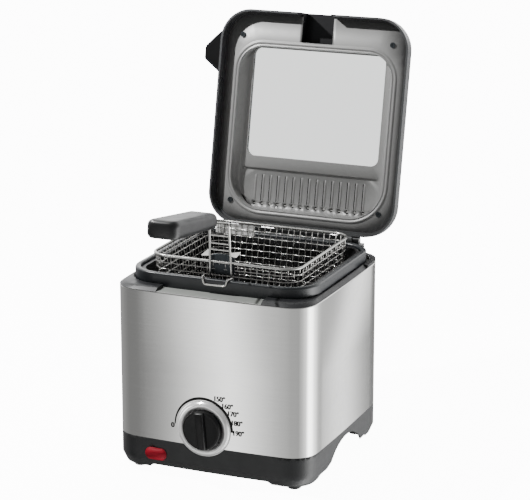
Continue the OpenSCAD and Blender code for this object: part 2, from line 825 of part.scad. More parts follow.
module lid_body(inset) {
    w = lid_w - 2 * lid_round;
    d = lid_d - 2 * lid_round;
    translate([0, lid_y, 0]) {
        around(lid_w, lid_d, lid_r) shell_section(inset);
        slab(w, d, lid_r - lid_round, rim_z - inset, lid_top - inset);
    }
}

module lid_shell() {
    color([0.2, 0.2, 0.21]) open_lid() {
        difference() {
            lid_body(0);
            lid_body(lid_wall);
            translate([0, -window_y, lid_top - 20])
                linear_extrude(40) plan(window_w + 2 * (pane_lap + seal_w + 0.1),
                    window_d + 2 * (pane_lap + seal_w + 0.1), window_r + pane_lap + seal_w + 0.1);
            translate([-hood_w / 2 - 0.1, -lid_front - 1, rim_z - 1])
                cube([hood_w + 0.2, lid_round + 1, 60]);
            translate([-filter_w / 2, filter_y - filter_d / 2, lid_top - 20])
                cube([filter_w, filter_d, 40]);
        }
        // bosses that take the liner's screws
        at_liner_screws() difference() {
            translate([0, 0, flange_z + liner_t]) cylinder(r = 3.6, $fn = small_fn,
                h = lid_top - lid_wall + 0.4 - flange_z - liner_t);
            cylinder(r = liner_screw_r, h = flange_z + 11, $fn = small_fn);
        }
        knuckles();
    }
}

module knuckles() {
    for (s = [-1, 1]) {
        x0 = s > 0 ? knuckle_x[0] : -knuckle_x[1];
        wide = knuckle_x[1] - knuckle_x[0];
        difference() {
            union() {
                translate([x0, hinge_y, hinge_z]) rotate([0, 90, 0])
                    cylinder(r = knuckle_r, h = wide, $fn = small_fn);
                translate([x0, lid_back - 1, rim_z + 0.4])
                    cube([wide, hinge_y - lid_back + 1, lid_side - 0.4]);
            }
            translate([x0 - 1, hinge_y, hinge_z]) rotate([0, 90, 0])
                cylinder(r = pin_r + run, h = wide + 2, $fn = small_fn);
            // the barrel stays outside the lid's wall
            translate([x0 - 1, lid_back - lid_wall - 10, rim_z - 10])
                cube([wide + 2, 10 + lid_wall / 2, 30]);
        }
    }
}

liner_screw_r = 1.5;
screw_x = lid_w / 2 - 20.6;
screw_front = 26.5 - lid_front;
screw_back = lid_back - 24;

module at_liner_screws() {
    for (x = [-screw_x, screw_x], y = [screw_front, screw_back])
        translate([x, y, 0]) children();
}

ridge_d = ridge_back - ridge_front;
ridge_y = (ridge_back + ridge_front) / 2;
ridge_h = 0.9;
dish_in = 5.6;

// Section of the ridge and the dish's wall, inwards from the ridge's outer edge
module ridge_section() {
    t = liner_t;
    polygon([[0.6, flange_z], [0, flange_z - ridge_h], [-4, flange_z - ridge_h],
        [-dish_in, dish_z], [-dish_in, dish_z + t], [-dish_in - 0.6 + t, dish_z + t],
        [-4 + 0.9 * t, flange_z - ridge_h + t], [-t, flange_z - ridge_h + t],
        [-t, flange_z + t], [0.6, flange_z + t]]);
}

module lid_liner() {
    edge = liner_edge;
    t = liner_t;
    color([0.6, 0.6, 0.6]) open_lid() difference() {
        union() {
            // flange
            difference() {
                translate([0, lid_y, 0]) slab(lid_w - 2 * edge, lid_d - 2 * edge, lid_r - edge,
                    flange_z, flange_z + t);
                translate([0, ridge_y, 0]) slab(ridge_w - 0.2, ridge_d - 0.2, ridge_r,
                    flange_z - 1, flange_z + t + 1);
            }
            translate([0, ridge_y, 0]) {
                around(ridge_w, ridge_d, ridge_r) ridge_section();
                difference() {
                    slab(ridge_w - 2 * dish_in, ridge_d - 2 * dish_in, ridge_r - dish_in,
                        dish_z, dish_z + t);
                    translate([-big / 2, vent_edge - ridge_y, 0]) cube([big, big, big]);
                }
                // vent panel, a little deeper than the dish
                intersection() {
                    slab(ridge_w - 2 * dish_in, ridge_d - 2 * dish_in, ridge_r - dish_in,
                        dish_z, vent_z + t);
                    translate([-big / 2, vent_edge - t - ridge_y, 0]) cube([big, big, big]);
                }
            }
        }
        translate([0, ridge_y, 0]) intersection() {
            slab(ridge_w - 2 * dish_in - 2 * t, ridge_d - 2 * dish_in - 2 * t,
                ridge_r - dish_in - t, dish_z - 1, vent_z);
            translate([-big / 2, vent_edge - ridge_y, 0]) cube([big, big, big]);
        }
        translate([0, -window_y, 0]) slab(window_w, window_d, window_r, dish_z - 1, dish_z + 9);
        // cut-out for the basket's handle
        translate([-hood_w / 2 + hood_wall, -lid_front, flange_z - 5])
            cube([hood_w - 2 * hood_wall, lid_front + hood_back, 30]);
        at_liner_screws() cylinder(r = liner_screw_r + gap, h = big, $fn = small_fn);
        for (i = [0:vent_count - 1])
            translate([(i - (vent_count - 1) / 2) * vent_pitch, 0, dish_z])
                translate([0, (vent_front + vent_back) / 2, 0])
                    cube([vent_w, vent_back - vent_front, 20], center = true);
    }
}

vent_front = vent_edge + 5.5;
vent_back = vent_front + 30;
window_r = 8;                                // corner radius of the window
liner_edge = lid_wall + 1.9;                 // from the lid's outside to the liner's edge

module lid_window() {
    color([0.85, 0.87, 0.88, 0.4]) open_lid() translate([0, -window_y, 0])
        slab(window_w + 2 * pane_lap, window_d + 2 * pane_lap, window_r + pane_lap,
            dish_z + liner_t, dish_z + liner_t + pane_t);
}

module window_gasket() {
    z = dish_z + liner_t;
    out = pane_lap + seal_w;
    color([0.1, 0.1, 0.1]) open_lid() translate([0, -window_y, 0])
        around(window_w + 2 * out, window_d + 2 * out, window_r + out) {
            translate([-seal_w, z]) square([seal_w, lid_top - z]);
            translate([-3.6, lid_top]) square([5, 0.8]);
            translate([-3.6, z + pane_t]) square([3.6, lid_top + 0.8 - z - pane_t]);
        }
}

// Seal between the liner's edge and the lid's curving wall
module rim_gasket() {
    wide = liner_edge - lid_wall;
    color([0.06, 0.06, 0.06]) open_lid() translate([0, lid_y, 0]) difference() {
        around(lid_w - 2 * lid_wall, lid_d - 2 * lid_wall, lid_r - lid_wall)
            polygon([[-wide, flange_z - 1.4], [-0.2, flange_z - 1.4],
                [-0.65, flange_z + liner_t], [-wide, flange_z + liner_t]]);
        translate([-hood_w / 2 - 0.3, -lid_d, flange_z - 5]) cube([hood_w + 0.6, lid_d, 20]);
    }
}

// Channel in the lid's front, which lets the basket's handle out when the lid is shut
module handle_hood() {
    inner = hood_w - 2 * hood_wall;
    roof = lid_top - hood_wall - 1;
    inside_top = lid_top - lid_wall - 0.1;
    color([0.09, 0.09, 0.09]) open_lid() difference() {
        union() {
            translate([0, -lid_front, 0]) rotate([-90, 0, 0]) linear_extrude(lid_round - 0.2)
                hood_outline(lid_top);
            translate([-hood_w / 2, -lid_front + lid_round - 0.4, flange_z])
                cube([hood_w, lid_front + hood_back + hood_end - lid_round + 0.4,
                    inside_top - flange_z]);
        }
        translate([-inner / 2, -lid_front - 1, rim_z - 5])
            cube([inner, lid_front + 1 + hood_back, roof - rim_z + 5]);
        // the side walls step up to the liner behind the rim
        translate([-hood_w, -lid_front + lid_wall, rim_z - 5])
            cube([2 * hood_w, lid_front, flange_z + liner_t - rim_z + 5]);
    }
}

module hood_outline(top) {
    soft = 5;
    mirror([0, 1, 0]) {
        translate([-hood_w / 2, rim_z]) square([hood_w, top - soft - rim_z]);
        translate([-hood_w / 2 + soft, top - 2 * soft]) square([hood_w - 2 * soft, 2 * soft]);
        for (s = [-1, 1]) translate([s * (hood_w / 2 - soft), top - soft])
            circle(r = soft, $fn = small_fn);
    }
}

// Finger tab on the lid's left side
module lid_tab() {
    reach = 16.5;
    tab_y = 25 - lid_front;
    color([0.14, 0.14, 0.14]) open_lid() translate([-lid_w / 2, tab_y, rim_z])
        linear_extrude(lid_side) polygon([[0, 0], [1 - reach, 15.5], [-reach, 18],
            [-reach, 28.5], [1 - reach, 30.5], [0, 42]]);
}

module liner_screws() {
    color("darkgray") open_lid() at_liner_screws() translate([0, 0, flange_z])
        mirror([0, 0, 1]) screw(2.8, 1.2, liner_screw_r, 9);
}

module filter_cover() {
    z = lid_top;
    color([0.16, 0.16, 0.17]) open_lid() translate([0, filter_y, 0]) difference() {
        union() {
            slab(filter_w + 6, filter_d + 1, 6, z, z + cover_h);
            slab(filter_w - 0.6, filter_d - 0.6, 4, z - lid_wall, z);
        }
        slab(filter_w - 3.4, filter_d - 3.4, 3, z - lid_wall - 1, z + cover_h - 2);
        for (i = [-7:7]) translate([i * vent_pitch, 0, z + cover_h])
            cube([3, filter_d - 12, 8], center = true);
    }
}

module filter_mat() {
    color([0.25, 0.25, 0.25]) open_lid() translate([0, filter_y, 0])
        slab(filter_w - 4, filter_d - 4, 2.6, lid_top - 1, lid_top + cover_h - 2);
}

module filter_mesh() {
    w = filter_w - 1.4;
    d = filter_d - 1.4;
    pitch = 6.8;
    hole = 4.8;
    outline = [[-w / 2, -d / 2], [w / 2, -d / 2], [w / 2, d / 2], [-w / 2, d / 2]];
    holes = [for (i = [-9:9], j = [-2:2]) each [for (q = [[-1, -1], [1, -1], [1, 1], [-1, 1]])
        [i * pitch + q[0] * hole / 2, j * pitch + q[1] * hole / 2]]];
    color("silver") open_lid() translate([0, filter_y, lid_top - lid_wall - 0.5])
        linear_extrude(0.5) polygon(points = concat(outline, holes),
            paths = concat([[0, 1, 2, 3]],
                [for (k = [1:len(holes) / 4]) [for (q = [0:3]) 4 * k + q]]));
}

// ---- basket --------------------------------------------------------------------------------

corner_steps = 2;

// Perforated wall panel with its outline and holes as one polygon, wide enough to lap the next
module mesh_panel(wb, wt, h, cols, rows) {
    lap = 0.35;
    outline = [[-wb / 2 - lap, 0], [wb / 2 + lap, 0], [wt / 2 + lap, h], [-wt / 2 - lap, h]];
    holes = [for (i = [0:cols - 1], j = [0:rows - 1]) cell(wb, wt, h, i / cols, (i + 1) / cols,
        j * h / rows + mesh_wire / 2, (j + 1) * h / rows - mesh_wire / 2)];
    polygon(points = concat(outline, [for (c = holes) each c]),
        paths = concat([[0, 1, 2, 3]], [for (k = [0:len(holes) - 1]) [for (q = [0:3]) 4 + 4 * k + q]]));
}

function cell(wb, wt, h, f0, f1, y0, y1) = [
    [(f0 - 0.5) * at_height(wb, wt, h, y0) + mesh_wire / 2, y0],
    [(f1 - 0.5) * at_height(wb, wt, h, y0) - mesh_wire / 2, y0],
    [(f1 - 0.5) * at_height(wb, wt, h, y1) - mesh_wire / 2, y1],
    [(f0 - 0.5) * at_height(wb, wt, h, y1) + mesh_wire / 2, y1]];
function at_height(wb, wt, h, y) = wb + (wt - wb) * y / h;

// Stands a panel at the given heading, leaning out from rb at the floor to rt at the rim
module stand(heading, rb, rt, h) {
    lean_out = atan((rt - rb) / h);
    rotate([0, 0, heading]) translate([rb, 0, 0]) rotate([0, lean_out, 0])
        rotate([90, 0, 90]) translate([0, 0, -mesh_wire / 2]) linear_extrude(mesh_wire) children();
}

module basket_mesh() {
    top_r = basket_r - rim_wire;
    low_r = top_r - basket_draft;
    half_x = basket_w / 2 - basket_r;
    half_y = basket_d / 2 - basket_r;
    tall = basket_h - rim_wire;
    slope = sqrt(tall * tall + basket_draft * basket_draft);
    rows = floor(slope / mesh_pitch);
    step = 90 / corner_steps;
    color("gainsboro") translate([0, basket_y, floor_z]) {
        for (a = [0:3]) {
            wide = (a % 2 == 0) ? 2 * half_y : 2 * half_x;
            out = (a % 2 == 0) ? half_x : half_y;
            rotate([0, 0, 90 * a]) {
                translate([out, 0, 0]) stand(0, low_r, top_r, tall)
                    mesh_panel(wide, wide, slope, round(wide / mesh_pitch), rows);
                translate([out, wide / 2, 0]) for (k = [0:corner_steps - 1])
                    stand(step * (k + 0.5), low_r * cos(step / 2), top_r * cos(step / 2), tall)
                        mesh_panel(2 * low_r * sin(step / 2), 2 * top_r * sin(step / 2), slope, 1, rows);
            }
        }
        linear_extrude(mesh_wire) floor_grid(half_x, half_y, low_r);
    }
}

module floor_grid(hx, hy, r) {
    cols = round(2 * (hx + r) / mesh_pitch);
    rows = round(2 * (hy + r) / mesh_pitch);
    sx = 2 * (hx + r) / cols;
    sy = 2 * (hy + r) / rows;
    step = 90 / corner_steps;
    rim = [for (q = [0:3], k = [0:corner_steps])
        let (a = 90 * q + step * k, cx = (q == 0 || q == 3) ? hx : -hx, cy = (q < 2) ? hy : -hy)
            [cx + (r + 0.3) * cos(a), cy + (r + 0.3) * sin(a)]];
    holes = [for (i = [0:cols - 1], j = [0:rows - 1])
        let (x0 = (i - cols / 2) * sx + mesh_wire / 2, x1 = x0 + sx - mesh_wire,
            y0 = (j - rows / 2) * sy + mesh_wire / 2, y1 = y0 + sy - mesh_wire)
            if (inside(max(abs(x0), abs(x1)), max(abs(y0), abs(y1)), hx, hy, r - mesh_wire))
                [[x0, y0], [x1, y0], [x1, y1], [x0, y1]]];
    n = len(rim);
    polygon(points = concat(rim, [for (c = holes) each c]),
        paths = concat([[for (q = [0:n - 1]) q]],
            [for (k = [0:len(holes) - 1]) [for (q = [0:3]) n + 4 * k + q]]));
}

function inside(x, y, hx, hy, r) =
    (x <= hx) ? y <= hy + r * cos(90 / corner_steps / 2)
    : (y <= hy) ? x <= hx + r * cos(90 / corner_steps / 2)
    : norm([x - hx, y - hy]) <= r * cos(90 / corner_steps / 2);

module basket_rim() {
    color("silver") translate([0, basket_y, rim_raised])
        around(basket_w - 2 * rim_wire, basket_d - 2 * rim_wire, basket_r - rim_wire)
            circle(r = rim_wire, $fn = small_fn);
}

ladder_y = -basket_front - handle_wire - 0.1;  // middle plane of the upright wires
ladder_top = rim_raised + ladder_h;

// Plate with an arched top that joins the ladder to the rim
module handle_bracket() {
    w = 2 * handle_x + 2 * handle_wire;
    t = 1.2;
    arch = 4;
    color([0.3, 0.31, 0.32]) translate([0, ladder_y - handle_wire - 0.05, 0]) {
        rotate([90, 0, 0]) linear_extrude(t) {
            translate([-w / 2, rim_raised - 13]) square([w, 20]);
            intersection() {
                translate([0, rim_raised + 7 + arch - arc_r(w, arch)])
                    circle(r = arc_r(w, arch), $fn = round_fn);
                translate([-w / 2, rim_raised + 6.9]) square([w, arch + 1]);
            }
        }
        // tongue folded back over the rim, between the wires
        translate([-6, -t, rim_raised + rim_wire]) cube([12, t + 2 * handle_wire + 4, t]);
    }
}

// Plate under the rim at the back
module rear_plate() {
    top_r = basket_r - rim_wire;
    low_r = top_r - basket_draft;
    tall = basket_h - rim_wire;
    slope = sqrt(tall * tall + basket_draft * basket_draft);
    color("gainsboro") translate([0, basket_y, floor_z]) rotate([0, 0, 90])
        translate([basket_d / 2 - basket_r + low_r, 0, 0]) rotate([0, atan(basket_draft / tall), 0])
            translate([mesh_wire / 2 + 0.05, 28, slope - 11]) cube([0.8, 43, 10.6]);
}

function arc_r(w, h) = (w * w / 4 + h * h) / (2 * h);

grip_root = ladder_y - grip_reach;
grip_z = ladder_top + grip_step;

function along_grip(d) = [0, grip_root - d * cos(grip_rise), grip_z + d * sin(grip_rise)];

// Two bent wires with rungs: up from the rim, then forward into the grip
module handle_ladder() {
    root = along_grip(14);
    color("silver") {
        for (s = [-1, 1]) {
            foot = [s * handle_x, ladder_y, rim_raised - 14];
            head = [s * handle_x, ladder_y, ladder_top];
            tail = [s * handle_x, root[1], root[2]];
            bar(foot, head, handle_wire);
            bend(head, handle_wire);
            bar(head, tail, handle_wire);
        }
        // pressed ears that hook over the rim's wire
        for (s = [-1, 1]) translate([s * handle_x, ladder_y, rim_raised + 6.5]) rotate([90, 0, 0])
            linear_extrude(1.2, center = true) polygon([[0, 0], [s * 6, 1.6], [s * 6.4, 2.8], [0, 5]]);
        for (z = [13, 19.5, 27]) bar([-handle_x, ladder_y, rim_raised + z],
            [handle_x, ladder_y, rim_raised + z], handle_wire * 0.7);
    }
}

module handle_grip() {
    head = [0, ladder_y, ladder_top];
    root = along_grip(14);
    pitch = atan2(root[2] - head[2], head[1] - root[1]);
    color([0.13, 0.13, 0.14]) difference() {
        translate([0, grip_root, grip_z]) rotate([-grip_rise, 0, 0]) hull() {
            for (s = [-1, 1]) {
                translate([s * (grip_w / 2 - 8), -grip_l + 8, 0]) scale([1, 1, grip_t / 16])
                    sphere(r = 8, $fn = 24);
                translate([s * (grip_w / 2 - 6.5), -6, 0]) scale([1, 1, (grip_t - 2.5) / 12])
                    sphere(r = 6, $fn = 24);
            }
        }
        for (s = [-1, 1]) translate([s * handle_x, head[1], head[2]])
            rotate([90 - pitch, 0, 0]) cylinder(r = handle_wire, h = norm(root - head), $fn = small_fn);
        for (d = [7, 18]) translate(along_grip(d)) rotate([-grip_rise, 0, 0])
            translate([0, 0, -big / 2 - grip_t / 2 + 2]) cylinder(r = 2.8, h = big / 2, $fn = small_fn);
    }
}

module grip_screws() {
    color("darkgray") for (d = [7, 18]) translate(along_grip(d)) rotate([-grip_rise, 0, 0])
        translate([0, 0, -grip_t / 2 + 2]) mirror([0, 0, 1]) cylinder(r = 2.6, h = 1.6, $fn = small_fn);
}

// ---- knob ----------------------------------------------------------------------------------

knob_back = 2.2;

// Flatted end of the spindle, which keys the knob
module spindle_end(long) {
    rotate([0, 0, knob_rest]) intersection() {
        cylinder(r = spindle_r, h = long, $fn = small_fn);
        translate([-spindle_r, -spindle_r, 0]) cube([2 * spindle_r, 2 * spindle_r - 1, long]);
    }
}

module control_knob() {
    bar_w = 8;
    color([0.1, 0.1, 0.1]) on_front(dial_x, dial_z) difference() {
        union() {
            rotate_extrude($fn = round_fn) polygon([[0, knob_back], [knob_r, knob_back],
                [knob_r, knob_face - 1.6], [knob_r - 1.4, knob_face], [0, knob_face]]);
            rotate([0, 0, knob_rest]) intersection() {
                translate([-bar_w / 2, -knob_r, knob_back]) cube([bar_w, 2 * knob_r, knob_h]);
                rotate_extrude($fn = round_fn) polygon([[0, knob_back], [knob_r - 0.2, knob_back],
                    [knob_r - 0.6, knob_face], [knob_r - 3, knob_h], [0, knob_h]]);
            }
        }
        translate([0, 0, knob_back - 1]) spindle_end(7.8);
        rotate([0, 0, knob_rest]) translate([0, knob_r - 4, knob_h]) cube([1.2, 8, 1.2], center = true);
    }
}

module knob_spindle() {
    back = thermo_front + 9 - front_y;
    color("gainsboro") on_front(dial_x, dial_z) {
        translate([0, 0, -back]) cylinder(r = spindle_r, h = back + 1, $fn = small_fn);
        spindle_end(knob_back + 6.5);
    }
}

steel_wrap();
base_skirt();
bottom_plate();
rubber_feet();
foot_screws();
base_screws();
top_deck();
deck_screws();
pot_collar();
oil_pot();
basket_rest();
heater_plate();
heating_element();
heater_clamp();
heat_shield();
shield_screws();
thermostat_bracket();
thermostat_body();
sensor_bulb();
thermal_fuse();
dial_bezel();
lamp_lens();
neon_lamp();
terminal_block();
cord_gland();
hinge_bracket();
hinge_screws();
hinge_pins();
lid_shell();
lid_liner();
lid_window();
window_gasket();
rim_gasket();
handle_hood();
lid_tab();
liner_screws();
filter_cover();
filter_mat();
filter_mesh();
basket_mesh();
basket_rim();
handle_bracket();
handle_ladder();
handle_grip();
rear_plate();
grip_screws();
control_knob();
knob_spindle();
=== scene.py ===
import bmesh
import bpy
import numpy as np
from mathutils import Matrix, Vector
from mathutils.geometry import delaunay_2d_cdt


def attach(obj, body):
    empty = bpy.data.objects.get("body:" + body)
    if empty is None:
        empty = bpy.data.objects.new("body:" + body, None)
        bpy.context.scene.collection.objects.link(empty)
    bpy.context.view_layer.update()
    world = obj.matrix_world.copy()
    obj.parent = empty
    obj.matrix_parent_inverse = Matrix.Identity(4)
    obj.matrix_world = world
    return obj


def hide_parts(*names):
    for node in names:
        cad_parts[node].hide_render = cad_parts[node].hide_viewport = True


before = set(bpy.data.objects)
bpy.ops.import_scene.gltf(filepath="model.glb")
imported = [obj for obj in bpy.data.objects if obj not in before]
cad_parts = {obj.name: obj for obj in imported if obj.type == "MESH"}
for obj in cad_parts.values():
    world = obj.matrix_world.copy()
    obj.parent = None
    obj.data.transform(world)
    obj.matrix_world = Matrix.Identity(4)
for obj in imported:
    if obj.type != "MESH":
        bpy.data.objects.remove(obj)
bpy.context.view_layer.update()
mm = 0.001  # lengths below are in millimetres

# the big forms that several pieces share: +Z is up, the front looks toward -Y
housing = {"width": 205, "depth": 200, "radius": 33, "seam": 35.6, "top": 184.6, "corner": 25, "bow": 1.8,
           "bowSide": 0.85, "ease": 4}
lid = {"width": 206.8, "front": -101, "back": 122.5, "radius": 33, "open": 101.8}
hinge = {"y": 126, "z": 191.6}
basket = {"width": 157, "front": -68.3, "back": 78, "radius": 19, "rim": 210.7, "depth": 63}
dial = {"x": -4, "z": 54, "front": -100}


def roundedLoop(halfX, halfY, radius, centre=(0, 0), arcSteps=12, sideSteps=10):
    # rounded rectangle, counter-clockwise: quarter circles about the corners' centres, joined by evenly cut
    # straight runs; any size has the same number of points, and two radii are for front and back
    front, back = (max(r, 0.01) for r in (radius if np.ndim(radius) else (radius, radius)))
    points = []
    for quarter, (signX, signY) in enumerate(((1, 1), (-1, 1), (-1, -1), (1, -1))):
        r = back if signY > 0 else front
        angles = np.radians(90 * quarter + np.linspace(0, 90, arcSteps + 1))
        x = signX * (halfX - r) + r * np.cos(angles)
        y = signY * (halfY - r) + r * np.sin(angles)
        points.append(np.stack([x, y], 1))
    loop = []
    for quarter in range(4):
        loop.append(points[quarter])
        start, end = points[quarter][-1], points[(quarter + 1) % 4][0]
        share = np.linspace(0, 1, sideSteps + 1)[1:-1, None]
        loop.append(start + (end - start) * share)
    return np.concatenate(loop) + np.array(centre)


def atHeight(loop, height):
    # a flat loop of (x, y) lifted to (x, y, height)
    return np.column_stack([loop, np.full(len(loop), float(height))])


def loft(rows, closed=True):
    # rows of points as a grid: each quad joins two neighbours to the same two of the next row, and a closed
    # row's last point has its first as neighbour
    count, wide = len(rows), len(rows[0])
    index = np.arange(count * wide).reshape(count, wide)
    after = np.roll(index, -1, axis=1) if closed else index[:, 1:]
    here = index if closed else index[:, :-1]
    faces = np.stack([here[:-1], after[:-1], after[1:], here[1:]], -1).reshape(-1, 4)
    return np.concatenate(rows), faces.tolist()


def joined(*meshes):
    # several meshes as one: the faces of each count on from the points before it
    points, faces, start = [], [], 0
    for meshPoints, meshFaces in meshes:
        points.append(np.asarray(meshPoints, float))
        faces += [[index + start for index in face] for face in meshFaces]
        start += len(meshPoints)
    return np.concatenate(points), faces


def capped(points, faces, wide):
    # closes a lofted tube: its first row backwards and its last row forwards become a face each
    count = len(points)
    ends = [list(range(wide))[::-1], list(range(count - wide, count))]
    return points, list(faces) + ends


def closedLoft(rows):
    # rows of closed outlines lofted, with both ends closed
    return capped(*loft(rows), len(rows[0]))


def tube(path, radius, sides=12, closed=False):
    # a circle carried along the path: point + radius * (cos a * normal + sin a * side), where the normal is
    # the last one less its part along the path, so that the tube doesn't twist
    path = np.asarray(path, float)
    if closed:
        tangents = np.roll(path, -1, 0) - np.roll(path, 1, 0)
    else:
        tangents = np.gradient(path, axis=0)
    tangents /= np.linalg.norm(tangents, axis=1)[:, None]
    normal = np.cross(tangents[0], [0, 0, 1.0])
    if np.linalg.norm(normal) < 0.05:
        normal = np.cross(tangents[0], [0, 1.0, 0])
    angles = np.linspace(0, 2 * np.pi, sides, endpoint=False)[:, None]
    rows = []
    for point, tangent in zip(path, tangents):
        normal = normal - tangent * normal.dot(tangent)
        normal /= np.linalg.norm(normal)
        side = np.cross(tangent, normal)
        rows.append(point + radius * (np.cos(angles) * normal + np.sin(angles) * side))
    if closed:
        return loft(rows + rows[:1])
    return closedLoft(rows)


def bentPath(corners, radius, steps=6):
    # straight runs, and at each inner corner the curve (1 - t)^2 start + 2 t (1 - t) corner + t^2 end
    corners = [np.asarray(corner, float) for corner in corners]
    path = [corners[0]]
    for before, corner, after in zip(corners, corners[1:], corners[2:]):
        toBefore, toAfter = before - corner, after - corner
        reach = min(radius, np.linalg.norm(toBefore) * 0.49, np.linalg.norm(toAfter) * 0.49)
        start = corner + toBefore / np.linalg.norm(toBefore) * reach
        end = corner + toAfter / np.linalg.norm(toAfter) * reach
        share = np.linspace(0, 1, steps + 1)[:, None]
        path.extend((1 - share) ** 2 * start + 2 * share * (1 - share) * corner + share ** 2 * end)
    path.append(corners[-1])
    return np.array(path)


def lathe(profile, sides=96):
    # a profile of (radius, height) turned about Z: (radius cos a, radius sin a, height)
    angles = np.linspace(0, 2 * np.pi, sides, endpoint=False)
    circle = np.column_stack([np.cos(angles), np.sin(angles)])
    return loft([atHeight(radius * circle, height) for radius, height in profile])


def onFront(points):
    # lays a piece drawn about the dial's axis on the front: y becomes height, height comes out to -Y
    points = np.asarray(points, float)
    return np.column_stack([points[:, 0] + dial["x"], dial["front"] - points[:, 2], points[:, 1] + dial["z"]])


def opened(points):
    # turns points of the shut lid back about the hinge's line, by the angle at which the lid stands open
    points = np.asarray(points, float)
    turn = -np.radians(lid["open"])
    y, z = points[:, 1] - hinge["y"], points[:, 2] - hinge["z"]
    return np.column_stack([points[:, 0], hinge["y"] + y * np.cos(turn) - z * np.sin(turn),
                            hinge["z"] + y * np.sin(turn) + z * np.cos(turn)])


def plateWithHoles(outer, holes, height, extra=()):
    # Delaunay triangles over all the points: those stay whose middle is inside the outline and outside
    # every hole
    points = [Vector(point) for point in outer]
    edges = [(i, (i + 1) % len(outer)) for i in range(len(outer))]
    for hole in holes:
        start = len(points)
        points += [Vector(point) for point in hole]
        edges += [(start + i, start + (i + 1) % len(hole)) for i in range(len(hole))]
    points += [Vector(point) for point in extra]
    flat, _, faces, _, _, _ = delaunay_2d_cdt(points, edges, [], 0, 1e-5)
    flat = np.array([tuple(point) for point in flat])
    faces = np.array(faces)
    centres = flat[faces].mean(1)
    keep = insideLoop(centres, np.asarray(outer))
    for hole in holes:
        keep &= ~insideLoop(centres, np.asarray(hole))
    return atHeight(flat, height), faces[keep].tolist()


def insideLoop(points, loop):
    # a point is inside where a ray from it toward +X crosses the loop an odd number of times
    x, y = points[:, 0:1], points[:, 1:2]
    start, end = loop, np.roll(loop, -1, 0)
    spans = (start[:, 1] > y) != (end[:, 1] > y)
    rise = np.where(np.abs(end[:, 1] - start[:, 1]) < 1e-12, 1e-12, end[:, 1] - start[:, 1])
    crossing = start[:, 0] + (y - start[:, 1]) * (end[:, 0] - start[:, 0]) / rise
    return (spans & (x < crossing)).sum(1) % 2 == 1


def newObject(name, data):
    # an object at the origin, put into the scene
    thing = bpy.data.objects.new(name, data)
    bpy.context.scene.collection.objects.link(thing)
    return thing


def addPiece(name, shape, material, body, place=np.asarray, sharp=35, bevel=0, thick=0, facing=None):
    # place carries the points to where they belong; seams are welded and faces turned outwards; an open sheet
    # is turned to facing, then gets its thickness
    points, faces = shape
    mesh = bpy.data.meshes.new(name)
    mesh.from_pydata((place(points) * mm).tolist(), [], faces)
    mesh.validate()
    work = bmesh.new()
    work.from_mesh(mesh)
    bmesh.ops.remove_doubles(work, verts=work.verts, dist=0.0005 * mm)
    bmesh.ops.recalc_face_normals(work, faces=work.faces)
    if facing is not None:
        toward = sum(face.normal.dot(Vector(facing)) * face.calc_area() for face in work.faces)
        if toward < 0:
            bmesh.ops.reverse_faces(work, faces=work.faces)
    work.to_mesh(mesh)
    work.free()
    mesh.update()
    mesh.shade_smooth()
    mesh.set_sharp_from_angle(angle=np.radians(sharp))
    piece = newObject(name, mesh)
    mesh.materials.append(material)
    if thick:
        solid = piece.modifiers.new("thickness", "SOLIDIFY")
        solid.thickness = thick * mm
        solid.offset = -1
    if bevel:
        edge = piece.modifiers.new("edge", "BEVEL")
        edge.width = bevel * mm
        edge.segments = 3
        edge.limit_method = "ANGLE"
        edge.angle_limit = np.radians(sharp)
    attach(piece, body)
    return piece


def linear(code):
    # sRGB hex to linear: v / 12.92 near black, otherwise ((v + 0.055) / 1.055) ^ 2.4
    values = [int(code[i:i + 2], 16) / 255 for i in (1, 3, 5)]
    return tuple(v / 12.92 if v <= 0.04045 else ((v + 0.055) / 1.055) ** 2.4 for v in values) + (1,)


def addNode(tree, kind, inputs=None, **settings):
    # one node with its settings; an input is a value for the node's own socket, or a socket to link from
    node = tree.nodes.new("ShaderNode" + kind)
    for key, value in settings.items():
        setattr(node, key, value)
    for key, value in (inputs or {}).items():
        if isinstance(value, bpy.types.NodeSocket):
            tree.links.new(value, node.inputs[key])
        else:
            node.inputs[key].default_value = value
    return node


def emptyTree(block):
    # the node tree of a material or world, with nothing in it
    block.use_nodes = True
    block.node_tree.nodes.clear()
    return block.node_tree


def finish(name, colours, rough, patterns, depth, values):
    # the colour goes from the first to the second along one noise, roughness from low to high as another
    # goes from 0.3 to 0.7, and a third is relief, depth high. A pattern is the size of its grains in
    # millimetres, how they are squeezed along x, y and z, and its octaves
    material = bpy.data.materials.new(name)
    tree = emptyTree(material)
    where = addNode(tree, "TexCoord").outputs["Object"]
    noise = {}
    for use, (size, squeeze, octaves) in patterns.items():
        place = addNode(tree, "Mapping", {"Vector": where, "Scale": squeeze}).outputs[0]
        grain = addNode(tree, "TexNoise", {"Vector": place, "Scale": 1 / (size * mm), "Detail": octaves,
                                           "Roughness": 0.55})
        noise[use] = grain.outputs["Fac"]
    ends = [linear(colour) for colour in colours]
    shine = addNode(tree, "MapRange", {"Value": noise["gloss"], "From Min": 0.3, "From Max": 0.7,
                                       "To Min": rough[0], "To Max": rough[1]})
    relief = addNode(tree, "Bump", {"Height": noise["relief"], "Distance": depth * mm, "Strength": 1})
    inputs = {"Base Color": ends[0], "Roughness": shine.outputs[0], "Normal": relief.outputs[0], **values}
    if "colour" in noise:
        mixed = addNode(tree, "Mix", {0: noise["colour"], 6: ends[0], 7: ends[1]}, data_type="RGBA")
        inputs["Base Color"] = mixed.outputs[2]
    if "Anisotropic" in values:
        around = addNode(tree, "Tangent", direction_type="RADIAL", axis="Z")
        inputs["Tangent"] = around.outputs[0]
    surface = addNode(tree, "BsdfPrincipled", inputs)
    addNode(tree, "OutputMaterial", {"Surface": surface.outputs[0]})
    return material


even = (1, 1, 1)


